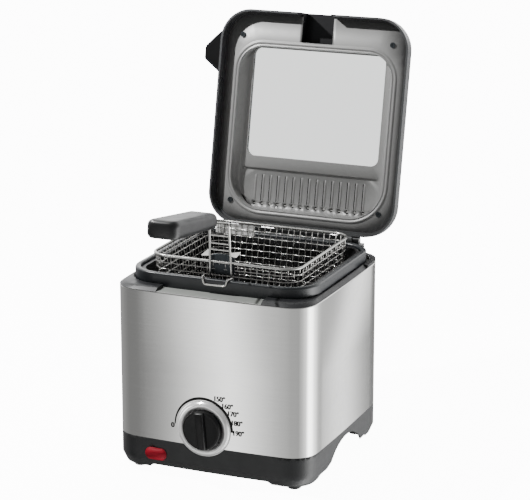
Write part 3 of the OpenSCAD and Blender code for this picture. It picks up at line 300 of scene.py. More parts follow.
def plastic(name, dark, light, rough, grainSize=0.5, grainDepth=0.006, gloss=0.5):
    # moulded: 24 mm clouds in the colour, 9 mm patches in the gloss, and a grain that is about 0.1 mm on a
    # real one, drawn 3 to 8 times as coarse to show
    patterns = {"colour": (24, even, 4), "gloss": (9, even, 3), "relief": (grainSize, even, 3)}
    return finish(name, (dark, light), rough, patterns, grainDepth, {"Specular IOR Level": gloss})


def metal(name, dark, light, rough, lineSize, stretch=even, lineDepth=0.004, metallic=1, more=None):
    # worked: the same lines in colour and relief, and 6 mm patches in the gloss; real brushing lines are
    # about 0.05 mm wide, and are drawn coarser to show
    lines = (lineSize, stretch, 5)
    patterns = {"colour": lines, "gloss": (6, even, 3), "relief": lines}
    return finish(name, (dark, light), rough, patterns, lineDepth, {"Metallic": metallic, **(more or {})})


def clear(name, tint, rough, transmission=1, haze=0, gloss=0.5):
    # seen through: one tint, 15 mm patches of haze and a faint 3 mm ripple
    patterns = {"gloss": (15, even, 3), "relief": (3, even, 3)}
    return finish(name, (tint,), (rough, rough + haze), patterns, 0.002,
                  {"Transmission Weight": transmission, "IOR": 1.46, "Specular IOR Level": gloss})


# rolled and brushed round the housing: fine level lines, and reflections drawn out upright into soft bands
brushedSteel = metal("brushed stainless steel", "#bcbcba", "#cfcfcd", (0.1, 0.12), 0.9, (0.02, 0.02, 3),
                     0.0012, more={"Anisotropic": 0.85, "Anisotropic Rotation": 0.25})
# the same sheet looked at along its top: a darker copy of the steel, grey and dull, with no clear reflection;
# its grey is painted dim reflection
ledgeSteelPaintedGrey = metal("stainless steel ledge, painted dull grey reflection", "#8f928e", "#9c9f9b", (0.5, 0.6), 0.9, (0.02, 2, 2),
                   0.002, metallic=0.35)
# pressed and left satin: an even grey with broad, weak highlights on each bead
satinSteel = metal("satin pressed steel", "#8b8b8a", "#979796", (0.42, 0.5), 0.8, (0.06, 2, 2), 0.002,
                   metallic=0.3)
# plated wire: a bright line along its crown, near black beside it
brightWire = metal("nickel-plated wire", "#b4b3b0", "#cbcac7", (0.16, 0.24), 1.2)
# drawn and welded: softer glints, so that the weave reads as grey cloth from afar
meshWire = metal("drawn basket wire", "#b4b3b0", "#d0cfcc", (0.24, 0.32), 1.2)
rimWire = metal("drawn rim wire", "#9c9c9a", "#b2b2af", (0.2, 0.28), 1.2)  # thicker, a shade darker
plateSteel = metal("zinc-plated sheet", "#a3a49f", "#b9b9b4", (0.3, 0.45), 4)  # faint spangle in cool grey
darkSteel = metal("dark oxide steel", "#33373a", "#3f4346", (0.4, 0.5), 2)  # blue-black, dull
# turned and polished, then lacquered: nearly white, with a milky shine
polished = metal("polished aluminium", "#f2f2f0", "#fbfbfa", (0.2, 0.26), 0.6, even, 0.001, metallic=0.4)
copper = metal("drawn copper", "#b87750", "#c98b62", (0.3, 0.4), 2)  # warm, half bright
castAluminium = metal("cast aluminium", "#8f9090", "#a5a6a6", (0.45, 0.6), 3)  # sandy, pale grey
# satin mouldings: near black that turns grey where it faces the light, and the deck a little smoother
basePlastic = plastic("moulded base plastic", "#252627", "#2c2d2e", (0.36, 0.44), 0.45, 0.006, gloss=0.36)
deckPlastic = plastic("glossy deck plastic", "#1d1e20", "#242527", (0.38, 0.46), 0.4, 0.003, gloss=0.38)
# heat-proof moulding: blue-black with a soft, wet-looking highlight along its top
collarPlastic = plastic("heat-proof collar plastic", "#13171b", "#1b1f23", (0.3, 0.36), 0.6, 0.004,
                        gloss=0.48)
# the lid's dark grey is glossier than the dull black of its channel
lidPlastic = plastic("glossy lid plastic", "#454647", "#4f5051", (0.26, 0.34), 0.8, 0.003, gloss=0.4)
hoodPlastic = plastic("black channel plastic", "#141416", "#1a1a1c", (0.45, 0.55), 0.4, 0.006, gloss=0.2)
# pressed phenolic: black, with a fine grain that breaks up its highlight
gripPlastic = plastic("phenolic grip", "#121315", "#1a1b1c", (0.34, 0.42), 0.35, 0.01, gloss=0.42)
# deep black, with only a weak highlight on its edges; the tab has none
knobPlastic = plastic("knob plastic", "#0b0b0c", "#111112", (0.34, 0.42), 0.4, 0.004, gloss=0.25)
hingePlastic = plastic("hinge plastic", "#18191a", "#1f2021", (0.38, 0.48), 0.4, 0.006)  # plain satin black
tabPlastic = plastic("matt tab plastic", "#060607", "#0a0a0b", (0.5, 0.6), 0.4, 0.006, gloss=0.1)
seal = plastic("grey silicone seal", "#444546", "#4e4f50", (0.5, 0.6), 0.4, 0.004, gloss=0.3)  # matt grey
rubber = plastic("black rubber", "#0e0e0e", "#151515", (0.55, 0.7), 0.3, 0.01)  # matt, slightly dusty
felt = plastic("carbon felt", "#1a1a1a", "#2e2e2e", (0.9, 1), 0.6, 0.25)  # fuzzy and flat
# the pot's dark coating, also used as the painted shade in the lid's vent slits
coatingAndSlitShade = plastic("non-stick coating", "#161617", "#1f1f21", (0.36, 0.46), 0.25, 0.01, gloss=0.3)  # pebbled
ceramic = plastic("ceramic", "#b9b2a0", "#c9c2b0", (0.4, 0.5), 0.5, 0.004)  # cream, unglazed
nylon = plastic("natural nylon", "#d8d2bf", "#e4dfce", (0.35, 0.45), 0.5, 0.004)  # milky
ink = plastic("screen-printed ink", "#0c0c0c", "#131313", (0.5, 0.6), 0.3, 0.002, gloss=0.2)  # flat black
windowGlass = clear("window glass", "#f2f4f3", 0.02, haze=0.02)  # barely tinted, sharp reflections
neonGlass = clear("neon glass", "#f0efe9", 0.05)  # clear tube
redLens = clear("red lamp lens", "#b01a30", 0.5, transmission=0.1, haze=0.1, gloss=0.2)  # cloudy red, unlit

finishes = [
    (brushedSteel, "steel_wrap"), (basePlastic, "base_skirt"), (deckPlastic, "top_deck"),
    (collarPlastic, "pot_collar"), (coatingAndSlitShade, "oil_pot"), (castAluminium, "heater_plate"),
    (plateSteel, "bottom_plate foot_screws base_screws deck_screws heater_clamp heat_shield shield_screws"
                 " thermostat_bracket hinge_screws grip_screws knob_spindle"),
    (darkSteel, "heating_element liner_screws handle_bracket"), (ceramic, "thermostat_body thermal_fuse"),
    (copper, "sensor_bulb"), (nylon, "terminal_block"), (rubber, "rubber_feet cord_gland window_gasket"),
    (polished, "dial_bezel rear_plate"), (redLens, "lamp_lens"), (neonGlass, "neon_lamp"),
    (brightWire, "basket_rest hinge_pins filter_mesh handle_ladder"), (hingePlastic, "hinge_bracket"),
    (lidPlastic, "lid_shell filter_cover"), (satinSteel, "lid_liner"), (windowGlass, "lid_window"),
    (seal, "rim_gasket"), (hoodPlastic, "handle_hood"), (tabPlastic, "lid_tab"), (felt, "filter_mat"),
    (meshWire, "basket_mesh"), (rimWire, "basket_rim"), (gripPlastic, "handle_grip"),
    (knobPlastic, "control_knob"),
]
for material, names in finishes:
    for name in names.split():
        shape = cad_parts[name]
        shape.data.materials.clear()
        shape.data.materials.append(material)
print("materials done")


view = {"azimuth": 23.08, "elevation": 15.48, "distance": 2126.69, "focalPixels": 2169.36, "imageWidth": 530,
        "aimSide": 14.8, "aimHeight": 206.08}


def addCamera():
    # stands off the aim by distance * (sin az cos el, -cos az cos el, sin el) and looks back along it
    azimuth, elevation = np.radians(view["azimuth"]), np.radians(view["elevation"])
    side = np.array([np.cos(azimuth), np.sin(azimuth), 0])
    level = np.cos(elevation)
    away = np.array([np.sin(azimuth) * level, -np.cos(azimuth) * level, np.sin(elevation)])
    aim = view["aimSide"] * side + np.array([0, 0, view["aimHeight"]])
    camera = newObject("camera", bpy.data.cameras.new("camera"))
    camera.data.sensor_width = 36
    camera.data.lens = view["focalPixels"] / view["imageWidth"] * camera.data.sensor_width
    camera.data.clip_end = 50
    camera.matrix_world = looking(aim + away * view["distance"], away)
    bpy.context.scene.camera = camera


def looking(place, back):
    # the matrix of something at a place in millimetres that looks away from back
    turn = Vector(back).to_track_quat("Z", "Y").to_matrix().to_4x4()
    return Matrix.Translation(Vector(place) * mm) @ turn


def addLamp(name, position, aim, size, power):
    # a round lamp, size across, that points at aim
    light = bpy.data.lights.new(name, "AREA")
    light.shape = "DISK"
    light.size = size * mm
    light.energy = power
    lamp = newObject(name, light)
    lamp.matrix_world = looking(position, Vector(position) - Vector(aim))
    lamp.visible_camera = False
    return lamp


def keepFromKey(piece):
    # the sheet only mirrors the room: no hard light on it
    shaded = bpy.data.collections.new("shaded from key")
    shaded.objects.link(piece)
    keyLamp.light_linking.receiver_collection = shaded
    shaded.collection_objects[0].light_linking.link_state = "EXCLUDE"


def lightOnly(lamp, piece):
    # the lamp lights this piece and nothing else
    lit = bpy.data.collections.new("lit by " + lamp.name)
    lit.objects.link(piece)
    lamp.light_linking.receiver_collection = lit


# brightness by angle, from the front toward the right side: the upright steel mirrors the ring below the
# horizon, and level tops mirror the ring at it
belowLight = [(-180, 0.6), (-100, 0.5), (-60, 0.35), (-34, 0.35), (-31, 0.42), (-28.5, 0.88), (-26.5, 1.8),
              (-22.5, 3.6), (-20.5, 2.4), (-18.5, 1.2), (-14, 1), (10, 0.8), (45, 0.75), (62, 1.3), (80, 2.4),
              (96, 9), (112, 7.5), (125, 4), (148, 1.7), (156, 0.75), (158.4, 3.9), (161, 0.5), (164, 0.35),
              (180, 0.6)]
levelLight = [(-180, 3), (-150, 3.2), (-120, 2), (-90, 0.6), (-50, 0.3), (-31, 0.35), (-26, 0.8),
              (-21, 0.7), (-17, 0.4), (0, 0.35), (60, 0.4), (90, 0.6), (120, 1.5), (150, 3), (180, 3)]
studio = {"brightest": 9, "overhead": 0.4, "fill": 0.38, "backdrop": 12, "throughGlass": 1.75, "key": 9,
          "keyAt": (-440, -118, 804), "keyAim": (0, 90, 290), "keySize": 16, "dial": 4,
          "dialAt": (-712, -436, 150), "dialSize": 500, "floorHalf": 9}
white = (1, 1, 1, 1)


def addRing(tree, turn, stops):
    # brightness round the horizon: straight lines between the stops, as a share of the brightest
    ramp = addNode(tree, "ValToRGB", {"Fac": turn})
    elements = ramp.color_ramp.elements
    elements[0].position, elements[1].position = 0, 1
    for angle, _ in stops[1:-1]:
        elements.new((angle + 180) / 360)
    for element, (angle, value) in zip(elements, stops):
        element.color = (value / studio["brightest"],) * 3 + (1,)
    return ramp.outputs["Color"]


def addWorld():
    # the angle atan2(x, -y) picks the brightness from each ring; height fades the lower ring into the level
    # one, and that into the ceiling; the camera sees plain white
    world = bpy.data.worlds.new("studio")
    tree = emptyTree(world)
    ray = addNode(tree, "TexCoord").outputs["Generated"]
    axes = addNode(tree, "SeparateXYZ", {0: ray})
    ahead = addNode(tree, "Math", {0: axes.outputs["Y"], 1: -1}, operation="MULTIPLY").outputs[0]
    angle = addNode(tree, "Math", {0: axes.outputs["X"], 1: ahead}, operation="ARCTAN2").outputs[0]
    circle = addNode(tree, "MapRange", {"Value": angle, "From Min": -np.pi, "From Max": np.pi})
    turn = circle.outputs[0]
    height = axes.outputs["Z"]
    rise = addNode(tree, "MapRange", {"Value": height, "From Min": -0.1, "From Max": 0.1})
    above = addNode(tree, "MapRange", {"Value": height, "From Min": 0.5, "From Max": 0.85})
    below, level = addRing(tree, turn, belowLight), addRing(tree, turn, levelLight)
    low = addNode(tree, "MixRGB", {"Fac": rise.outputs[0], "Color1": below, "Color2": level})
    overhead = (studio["overhead"] / studio["brightest"],) * 3 + (1,)
    around = addNode(tree, "MixRGB", {"Fac": above.outputs[0], "Color1": low.outputs[0],
                                      "Color2": overhead})
    path = addNode(tree, "LightPath")
    matt = addNode(tree, "MapRange", {"Value": path.outputs["Is Diffuse Ray"],
                                      "To Min": studio["brightest"],
                                      "To Max": studio["brightest"] * studio["fill"]}).outputs[0]
    room = addNode(tree, "Background", {"Color": around.outputs[0], "Strength": matt})
    glass = addNode(tree, "Background", {"Color": white, "Strength": studio["throughGlass"]})
    backdrop = addNode(tree, "Background", {"Color": white, "Strength": studio["backdrop"]})
    beyond = addNode(tree, "MixShader", {0: path.outputs["Is Transmission Ray"], 1: room.outputs[0],
                                         2: glass.outputs[0]})
    shown = addNode(tree, "MixShader", {0: path.outputs["Is Camera Ray"], 1: beyond.outputs[0],
                                        2: backdrop.outputs[0]})
    addNode(tree, "OutputWorld", {"Surface": shown.outputs[0]})
    bpy.context.scene.world = world


def addStudio():
    # the room, a lit white floor that only the camera sees, and the key lamp, which it returns
    addWorld()
    reach = studio["floorHalf"]
    corners = [(-reach, -reach, 0), (reach, -reach, 0), (reach, reach, 0), (-reach, reach, 0)]
    floorMesh = bpy.data.meshes.new("floor")
    floorMesh.from_pydata(corners, [], [(0, 1, 2, 3)])
    floor = newObject("floor", floorMesh)
    material = bpy.data.materials.new("lit white studio floor")
    tree = emptyTree(material)
    glow = {"Base Color": (0.9, 0.9, 0.9, 1), "Emission Color": white,
            "Emission Strength": studio["backdrop"]}
    surface = addNode(tree, "BsdfPrincipled", glow)
    addNode(tree, "OutputMaterial", {"Surface": surface.outputs[0]})
    floorMesh.materials.append(material)
    floor.visible_glossy = floor.visible_diffuse = floor.visible_transmission = floor.visible_shadow = False
    return addLamp("key", studio["keyAt"], studio["keyAim"], studio["keySize"], studio["key"])


addCamera()
keyLamp = addStudio()
print("camera and studio done")


def bow(x):
    # how far the front bulges at x: a parabola that ends where the corners begin
    share = np.clip(np.abs(np.asarray(x, float)) / (housing["width"] / 2 - housing["corner"]), 0, 1)
    return housing["bow"] * (1 - share ** 2)


def printed(x, z, proud=0.12):
    # lays a flat print on the bowed front, just proud of it
    return np.column_stack([x, dial["front"] - bow(x) - proud, z])


def addScale():
    # printed arc whose width rises evenly from a hairline at the zero to its bold end, and the numbers
    scale = {"centre": (-4.9, 54.3), "radius": 29.8, "start": 179, "end": -1, "thin": 1.2, "thick": 2.8,
             "growth": 2.4}
    numbers = {"150°": (12.1, 85.6), "160°": (20.3, 79.2), "170°": (26.2, 72.4), "180°": (30.1, 63.5),
               "190°": (31.6, 53.5), "0": (-37.3, 52.9)}
    angles = np.linspace(scale["start"], scale["end"], 73)
    share = (angles - scale["start"]) / (scale["end"] - scale["start"])
    width = scale["thin"] + (scale["thick"] - scale["thin"]) * np.minimum(1, share * scale["growth"])
    turn = np.radians(angles)
    rows = []
    for side in (-0.5, 0.5):
        radius = scale["radius"] + side * width
        x, z = scale["centre"][0] + radius * np.cos(turn), scale["centre"][1] + radius * np.sin(turn)
        rows.append(printed(x, z))
    addPiece("scale_arc", loft(rows, closed=False), ink, "housing", facing=(0, -1, 0))
    for text, (x, z) in numbers.items():
        addNumber(text, x, z)


def addNumber(text, x, z):
    # a flat number drawn to one width, laid on the front five times side by side for bold strokes
    number = {"size": 7.176, "wide": 10.7, "bold": (-0.42, -0.21, 0, 0.21, 0.42), "proud": 0.12,
              "layer": 0.01}
    curve = bpy.data.curves.new("number", "FONT")
    curve.body = text
    curve.size = number["size"] * mm
    curve.align_x = curve.align_y = "CENTER"
    holder = newObject("number", curve)
    bpy.context.view_layer.update()
    mesh = bpy.data.meshes.new_from_object(holder.evaluated_get(bpy.context.evaluated_depsgraph_get()))
    bpy.data.objects.remove(holder)
    flat = np.empty(len(mesh.vertices) * 3)
    mesh.vertices.foreach_get("co", flat)
    flat = flat.reshape(-1, 3) / mm
    wide = flat[:, 0] * (number["wide"] / np.ptp(flat[:, 0]) if len(text) > 1 else 1)
    faces = [list(face.vertices) for face in mesh.polygons]
    copies = [(printed(x + wide + shift, z + flat[:, 1], number["proud"] + number["layer"] * k), faces)
              for k, shift in enumerate(number["bold"])]
    addPiece("scale_" + text.replace("°", ""), joined(*copies), ink, "housing", facing=(0, -1, 0))


def addBezel():
    # bright ring with a raised lip, and the polished dish that the knob turns in: one profile, turned
    ring = [(2.8, 0.6), (2.9, 1.8), (17, 1.8), (19.9, 2.2), (20.3, 3.2), (20.9, 4.3), (21.8, 5.1), (23, 5.6),
            (24.2, 5.7), (25.3, 5.3), (26.2, 4.4), (26.9, 3.2), (27.3, 2.7), (27.8, 2.5), (28, 2), (28, 0),
            (2.8, 0), (2.8, 0.6)]
    bright = addPiece("dial_ring", lathe(ring, 144), polished, "housing", onFront)
    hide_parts("dial_bezel")
    lightOnly(addLamp("dial softbox", studio["dialAt"], (dial["x"], dial["front"], dial["z"]),
                      studio["dialSize"], studio["dial"]), bright)


def addKnob():
    # a turned disc with a rounded edge, and across it a bar whose outlines shrink toward its top
    size = {"radius": 19.6, "back": 2.4, "face": 9.8, "top": 13.6, "turn": 5}
    r, back, face, top = size["radius"], size["back"], size["face"], size["top"]
    disc = [(0.01, back), (r - 0.6, back), (r, back + 0.8), (r - 0.2, face - 1.2), (r - 0.7, face - 0.4),
            (r - 1.5, face), (r - 2.6, face - 0.25), (0.01, face - 0.5)]
    bar = [(face - 1.5, 0.2, 4.9), (face + 0.8, 0.5, 4.6), (top - 1.4, 1.4, 4.2), (top - 0.4, 2.0, 3.7),
           (top, 2.9, 2.9)]  # height, inset from the knob's edge, half width
    rows = [atHeight(barOutline(half, r - inset), height) for height, inset, half in bar]
    points, faces = joined(capped(*lathe(disc, 128), 128), closedLoft(rows))
    turn = np.radians(size["turn"])
    turned = points @ np.array([[np.cos(turn), np.sin(turn), 0], [-np.sin(turn), np.cos(turn), 0], [0, 0, 1]])
    knob = addPiece("knob_body", (turned, faces), knobPlastic, "dial", onFront, sharp=40)
    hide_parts("control_knob")


def barOutline(half, reach, steps=9):
    # bar across the knob: two arcs of the knob's own circle, half a turn apart
    side = np.arcsin(min(1, half / reach))
    top = np.linspace(np.pi / 2 - side, np.pi / 2 + side, steps)
    angles = np.concatenate([top, top + np.pi])
    return np.column_stack([reach * np.cos(angles), reach * np.sin(angles)])


def bowedLoop(inset, arcSteps=24, sideSteps=26):
    # the housing's outline: tight corners and sides bulged by a parabola, eased, then moved in squarely
    halfX, halfY, r = housing["width"] / 2, housing["depth"] / 2, housing["corner"]
    loop = roundedLoop(halfX, halfY, r, (0, 0), arcSteps, sideSteps)
    share = np.clip(np.abs(loop) / np.array([halfX - r, halfY - r]), 0, 1)
    crown = (1 - share[:, ::-1] ** 2) * (np.abs(loop) > np.array([halfX, halfY]) - 1e-6)
    sideBow = np.where(loop[:, 0] > 0, housing["bowSide"], housing["bow"])
    loop = loop + np.sign(loop) * crown * np.column_stack([sideBow, np.full(len(loop), housing["bow"])])
    loop = eased(loop, housing["ease"])
    ahead = np.roll(loop, -1, 0) - np.roll(loop, 1, 0)
    ahead /= np.linalg.norm(ahead, axis=1)[:, None]
    return loop + inset * np.column_stack([-ahead[:, 1], ahead[:, 0]])


def eased(loop, width):
    # a bell-weighted mean along the loop's length takes the kinks out where sides meet corners
    step = np.linalg.norm(np.roll(loop, -1, 0) - loop, axis=1)
    place = np.concatenate([[0], np.cumsum(step)])
    samples = np.linspace(0, place[-1], 2001)[:-1]
    ends = np.vstack([loop, loop[:1]])
    dense = np.column_stack([np.interp(samples, place, ends[:, axis]) for axis in (0, 1)])
    reach = int(3 * width / samples[1])
    weights = np.exp(-0.5 * (np.arange(-reach, reach + 1) * samples[1] / width) ** 2)
    weights /= weights.sum()
    around = np.vstack([dense[-reach:], dense, dense[:reach]])
    smooth = np.column_stack([np.convolve(around[:, axis], weights, "valid") for axis in (0, 1)])
    smooth = np.vstack([smooth, smooth[:1]])
    ahead = np.append(samples, place[-1])
    return np.column_stack([np.interp(place[:-1], ahead, smooth[:, axis]) for axis in (0, 1)])


def outward(points, reachIn=16):
    # moves points near the plain outline out, along rays from the middle, by what the bowed outline has
    # more; toward the middle the shift fades over reachIn, by 3 t^2 - 2 t^3
    points = np.asarray(points, float).copy()
    halfX, halfY, soft = housing["width"] / 2, housing["depth"] / 2, housing["radius"]
    plain = roundedLoop(halfX, halfY, soft, (0, 0), 90, 90)
    bowed = bowedLoop(0, 90, 90)
    angle = np.arctan2(points[:, 1], points[:, 0])

    def reach(loop):
        turn = np.arctan2(loop[:, 1], loop[:, 0])
        order = np.argsort(turn)
        return np.interp(angle, turn[order], np.linalg.norm(loop, axis=1)[order], period=2 * np.pi)

    out = np.abs(points[:, :2]) - np.array([halfX - soft, halfY - soft])
    inset = np.where((out > 0).all(1), soft - np.linalg.norm(out, axis=1), soft - out.max(1))
    near = np.clip(1 - (inset - 1) / reachIn, 0, 1)
    near = near * near * (3 - 2 * near)
    away = np.linalg.norm(points[:, :2], axis=1)
    grown = away + (reach(bowed) - reach(plain)) * near
    points[:, :2] *= (grown / np.maximum(away, 1e-6))[:, None]
    return points


def reshaped(name, node, material, cuts=()):
    # a merged copy of a CAD piece, sliced across x, y and z so that it can follow the bowed sides
    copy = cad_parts[node].data.copy()
    work = bmesh.new()
    work.from_mesh(copy)
    bmesh.ops.remove_doubles(work, verts=work.verts, dist=1e-6)
    for axis, places in cuts:
        normal = np.eye(3)[axis]
        for place in places:
            bmesh.ops.bisect_plane(work, geom=work.verts[:] + work.edges[:] + work.faces[:],
                                   plane_co=normal * place * mm, plane_no=normal, dist=1e-7)
    work.to_mesh(copy)
    work.free()
    flat = np.empty(len(copy.vertices) * 3)
    copy.vertices.foreach_get("co", flat)
    moved = outward(flat.reshape(-1, 3) / mm) * mm
    copy.vertices.foreach_set("co", moved.ravel())
    copy.update()
    copy.shade_smooth()
    copy.set_sharp_from_angle(angle=np.radians(30))
    copy.materials.clear()
    copy.materials.append(material)
    piece = newObject(name, copy)
    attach(piece, "housing")
    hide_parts(node)


def addSteel():
    # a closed sheet: up the outside, a quarter circle round the top edge and back down inside; the ledge is
    # a second one, from that edge to the pot's hole
    sheet = {"thick": 0.8, "roll": 1.3, "holeX": 92, "holeY": (-79, 91), "holeRadius": 27}
    top, bottom, roll, thick = housing["top"], housing["seam"], sheet["roll"], sheet["thick"]

    def ring(inset, height):
        return atHeight(bowedLoop(inset), height)

    front, back = sheet["holeY"]
    middle = (0, (front + back) / 2)
    hole = roundedLoop(sheet["holeX"], (back - front) / 2, sheet["holeRadius"], middle, 24, 26)
    turn = np.radians(np.linspace(0, 90, 6))
    rows = [ring(0, bottom), ring(0, (bottom + top) / 2)]
    rows += [ring(roll * (1 - np.cos(a)), top - roll + roll * np.sin(a)) for a in turn]
    rim = rows[-1]
    rows += [atHeight(rim[:, :2], top - thick / 2), ring(thick + 0.6, top - thick), ring(thick, bottom)]
    wall = addPiece("steel_sheet", loft(rows + rows[:1]), brushedSteel, "housing", sharp=40)
    tongue = [rim, atHeight(hole, top), atHeight(hole, top - thick), atHeight(rim[:, :2], top - thick), rim]
    # the ledge gets the darker copy of the steel, whose grey is painted dim reflection
    ledge = addPiece("steel_ledge", loft(tongue), ledgeSteelPaintedGrey, "housing", sharp=40)
    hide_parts("steel_wrap")
    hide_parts("steel_wrap")
    return wall


def addRestClip():
    # half of the bent wire and its mirror image as one path: in, over the collar's front and down
    clip = {"half": 13, "flare": 1.6, "radius": 1.0, "bend": 2.2, "inside": -75.8, "outside": -84.1,
            "top": 199.1, "end": 194.1, "foot": 192.7}
    wide = clip["half"] + clip["flare"]
    half = [(wide, clip["inside"], clip["end"]), (wide, clip["inside"], clip["top"]),
            (clip["half"], clip["outside"], clip["top"]), (clip["half"] - 2, clip["outside"], clip["foot"])]
    corners = [(-x, y, z) for x, y, z in half] + half[::-1]
    shape = tube(bentPath(corners, clip["bend"]), clip["radius"], 14)
    wire = addPiece("rest_wire", shape, brightWire, "housing")
    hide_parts("basket_rest")


def addHingeApron():
    # black web that closes the slot under the raised lid: one section drawn out in x
    web = {"half": 55, "y": 118.2, "thick": 1.6, "low": 181.5, "high": 196.8, "foot": 100, "edge": 0.4}
    y, inner, low = web["y"], web["y"] - web["thick"], web["low"]
    section = [(inner, web["high"]), (y, web["high"]), (y, low - 3), (web["foot"], low - 9),
               (web["foot"], low - 7), (inner, low)]
    rows = [np.array([(x, *point) for point in section]) for x in (-web["half"], web["half"])]
    points, faces = closedLoft(rows)
    addPiece("hinge_apron", (points, faces[::-1]), hingePlastic, "housing", bevel=web["edge"])


keepFromKey(addSteel())
slices = [(0, np.linspace(-98, 98, 29)), (1, np.linspace(-96, 96, 29)), (2, np.linspace(4, 32, 5))]
reshaped("base_moulding", "base_skirt", basePlastic, slices)
reshaped("deck_moulding", "top_deck", deckPlastic, slices)
reshaped("lamp_window", "lamp_lens", redLens)
addScale()
addBezel()
addKnob()
addRestClip()
addHingeApron()
print("housing done")


def wallProfile(depth, draft, fillet, steps):
    # inset and depth down the drafted wall, then round a quarter circle on to the floor's edge
    wall = np.linspace(0, 1, steps)[:, None] * np.array([[draft, depth - fillet]])
    turn = np.radians(np.linspace(0, 90, 7))[1:]
    bend = np.column_stack([draft + fillet * (1 - np.cos(turn)), depth - fillet + fillet * np.sin(turn)])
    return np.concatenate([wall, bend])


def addBasketWires():
    # uprights and rings woven together: each wire swings in and out by crimp * sin(pi * distance / pitch),
    # and its neighbour the other way; the floor is two crossing sets
    wire = {"radius": 0.47, "pitch": 6.4, "crimp": 0.32, "draft": 7, "fillet": 6.5, "inside": 1.5, "sides": 5}
    halfX = basket["width"] / 2 - wire["inside"]
    halfY = (basket["back"] - basket["front"]) / 2 - wire["inside"]
    centreY = (basket["back"] + basket["front"]) / 2
    corner = basket["radius"] - wire["inside"]
    top, deep = basket["rim"] - 0.4, basket["depth"] - 1
    straight = np.array([halfX - corner, halfY - corner])
    quarter = np.pi / 2 * corner
    # the rim's eight parts, from the right side's front end on: where each starts, and which way it runs
    ends = np.concatenate([[0], np.cumsum([2 * straight[1], quarter, 2 * straight[0], quarter] * 2)])
    starts = np.array([(1, -1), (1, 1), (1, 1), (-1, 1), (-1, 1), (-1, -1), (-1, -1), (1, -1)]) * straight
    runs = np.array([(0, 1), (0, 0), (-1, 0), (0, 0), (0, -1), (0, 0), (1, 0), (0, 0)])

    def onWall(distance, inset, height):
        # point at a distance round the rim, moved in by inset: start + run * along + reach * (cos a, sin a)
        distance = np.mod(distance, ends[-1])
        part = np.clip(np.searchsorted(ends, distance, side="right") - 1, 0, 7)
        along = distance - ends[part]
        angle = np.radians(90 * (part // 2) + np.where(part % 2 == 1, 90 * along / quarter, 0))
        reach = (corner - inset)[:, None] * np.column_stack([np.cos(angle), np.sin(angle)])
        place = starts[part] + runs[part] * along[:, None] + reach
        return np.column_stack([place[:, 0], place[:, 1] + centreY, height])

    total = ends[-1]
    uprights = int(total / wire["pitch"]) // 2 * 2
    profile = wallProfile(deep, wire["draft"], wire["fillet"], 40)
    rings = int(np.hypot(wire["draft"], deep - wire["fillet"]) / wire["pitch"])
    shapes = []
    wave = np.pi * np.linspace(0, rings + 0.9, len(profile))
    for k in range(uprights):
        weave = wire["crimp"] * np.sin(wave + np.pi * k)
        place = np.full(len(profile), total * k / uprights)
        path = onWall(place, profile[:, 0] + weave, top - profile[:, 1])
        shapes.append(tube(path, wire["radius"], wire["sides"]))
    around = np.linspace(0, total, uprights * 4, endpoint=False)
    for k in range(1, rings + 1):
        share = k / (rings + 0.45)
        weave = wire["crimp"] * np.sin(np.pi * around / total * uprights + np.pi * (k + 0.5))
        height = np.full(len(around), top - (deep - wire["fillet"]) * share)
        path = onWall(around, wire["draft"] * share - weave, height)
        shapes.append(tube(path, wire["radius"], wire["sides"], closed=True))
    edge = wire["draft"] + wire["fillet"]
    floorX, floorY, floorR = halfX - edge, halfY - edge, corner - edge
    for axis, (across, along) in enumerate(((floorX, floorY), (floorY, floorX))):
        count = int(2 * across / wire["pitch"])
        for k in range(-(count // 2), count // 2 + 1):
            offset = k * wire["pitch"]
            if abs(offset) > across - 0.5:
                continue
            over = max(0, abs(offset) - (across - floorR))
            reach = along - floorR + np.sqrt(max(floorR ** 2 - over ** 2, 0)) + 0.6
            run = np.linspace(-reach, reach, int(reach) + 2)
            lift = wire["crimp"] * np.sin(np.pi * run / wire["pitch"] + np.pi * (k + axis))
            lift *= 1 if axis else -1
            still = np.full(len(run), float(offset))
            x, y = (still, run) if axis == 0 else (run, still)
            path = np.column_stack([x, y + centreY, top - deep + lift])
            shapes.append(tube(path, wire["radius"], wire["sides"]))
    mesh = addPiece("basket_wires", joined(*shapes), meshWire, "basket", sharp=80)
    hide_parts("basket_mesh")


def upright(outline, y):
    # an outline of (x, height) stood up at y
    across, up = np.array(outline).T
    return np.column_stack([across, np.full(len(across), float(y)), up])


def addHandle():
    # two wires that lean and draw together toward the top, rungs placed by their share of the height, and
    # an ear pressed flat at each foot
    wire = {"foot": (11.2, -69.7, 198), "top": (9.8, -72.9, 251.7), "root": (9.8, -126, 265.8),
            "radius": 1.15, "bend": 5, "rungs": (223.9, 230.3, 238.1), "rung": 0.75, "rungBack": 0.6,
            "ear": (-1.6, -0.6)}
    foot, top = np.array(wire["foot"]), np.array(wire["top"])
    shapes = []
    for side in (-1, 1):
        corners = [np.array(wire[place]) * (side, 1, 1) for place in ("foot", "top", "root")]
        shapes.append(tube(bentPath(corners, wire["bend"]), wire["radius"], 14))
    for height in wire["rungs"]:
        share = (height - foot[2]) / (top[2] - foot[2])
        x, y = (1 - share) * foot[:2] + share * top[:2]
        y += wire["rungBack"]
        shapes.append(tube([(-x, y, height), (x, y, height)], wire["rung"], 10))
    x = foot[0]
    leftEar = [(-x, 217.7), (-x, 223.1), (-x - 2.2, 223.1), (-x - 8.3, 217.4), (-x - 7.6, 216.8)]
    rightEar = [(x, 219), (x + 5.6, 218.4), (x + 10, 223.4), (x + 9.6, 224.4), (x + 1.4, 222.7), (x, 222.7)]
    for ear in (leftEar, rightEar):
        shapes.append(closedLoft([upright(ear, foot[1] + y) for y in wire["ear"]]))
    ladder = addPiece("handle_wires", joined(*shapes), brightWire, "basket", sharp=50)
    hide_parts("handle_ladder")


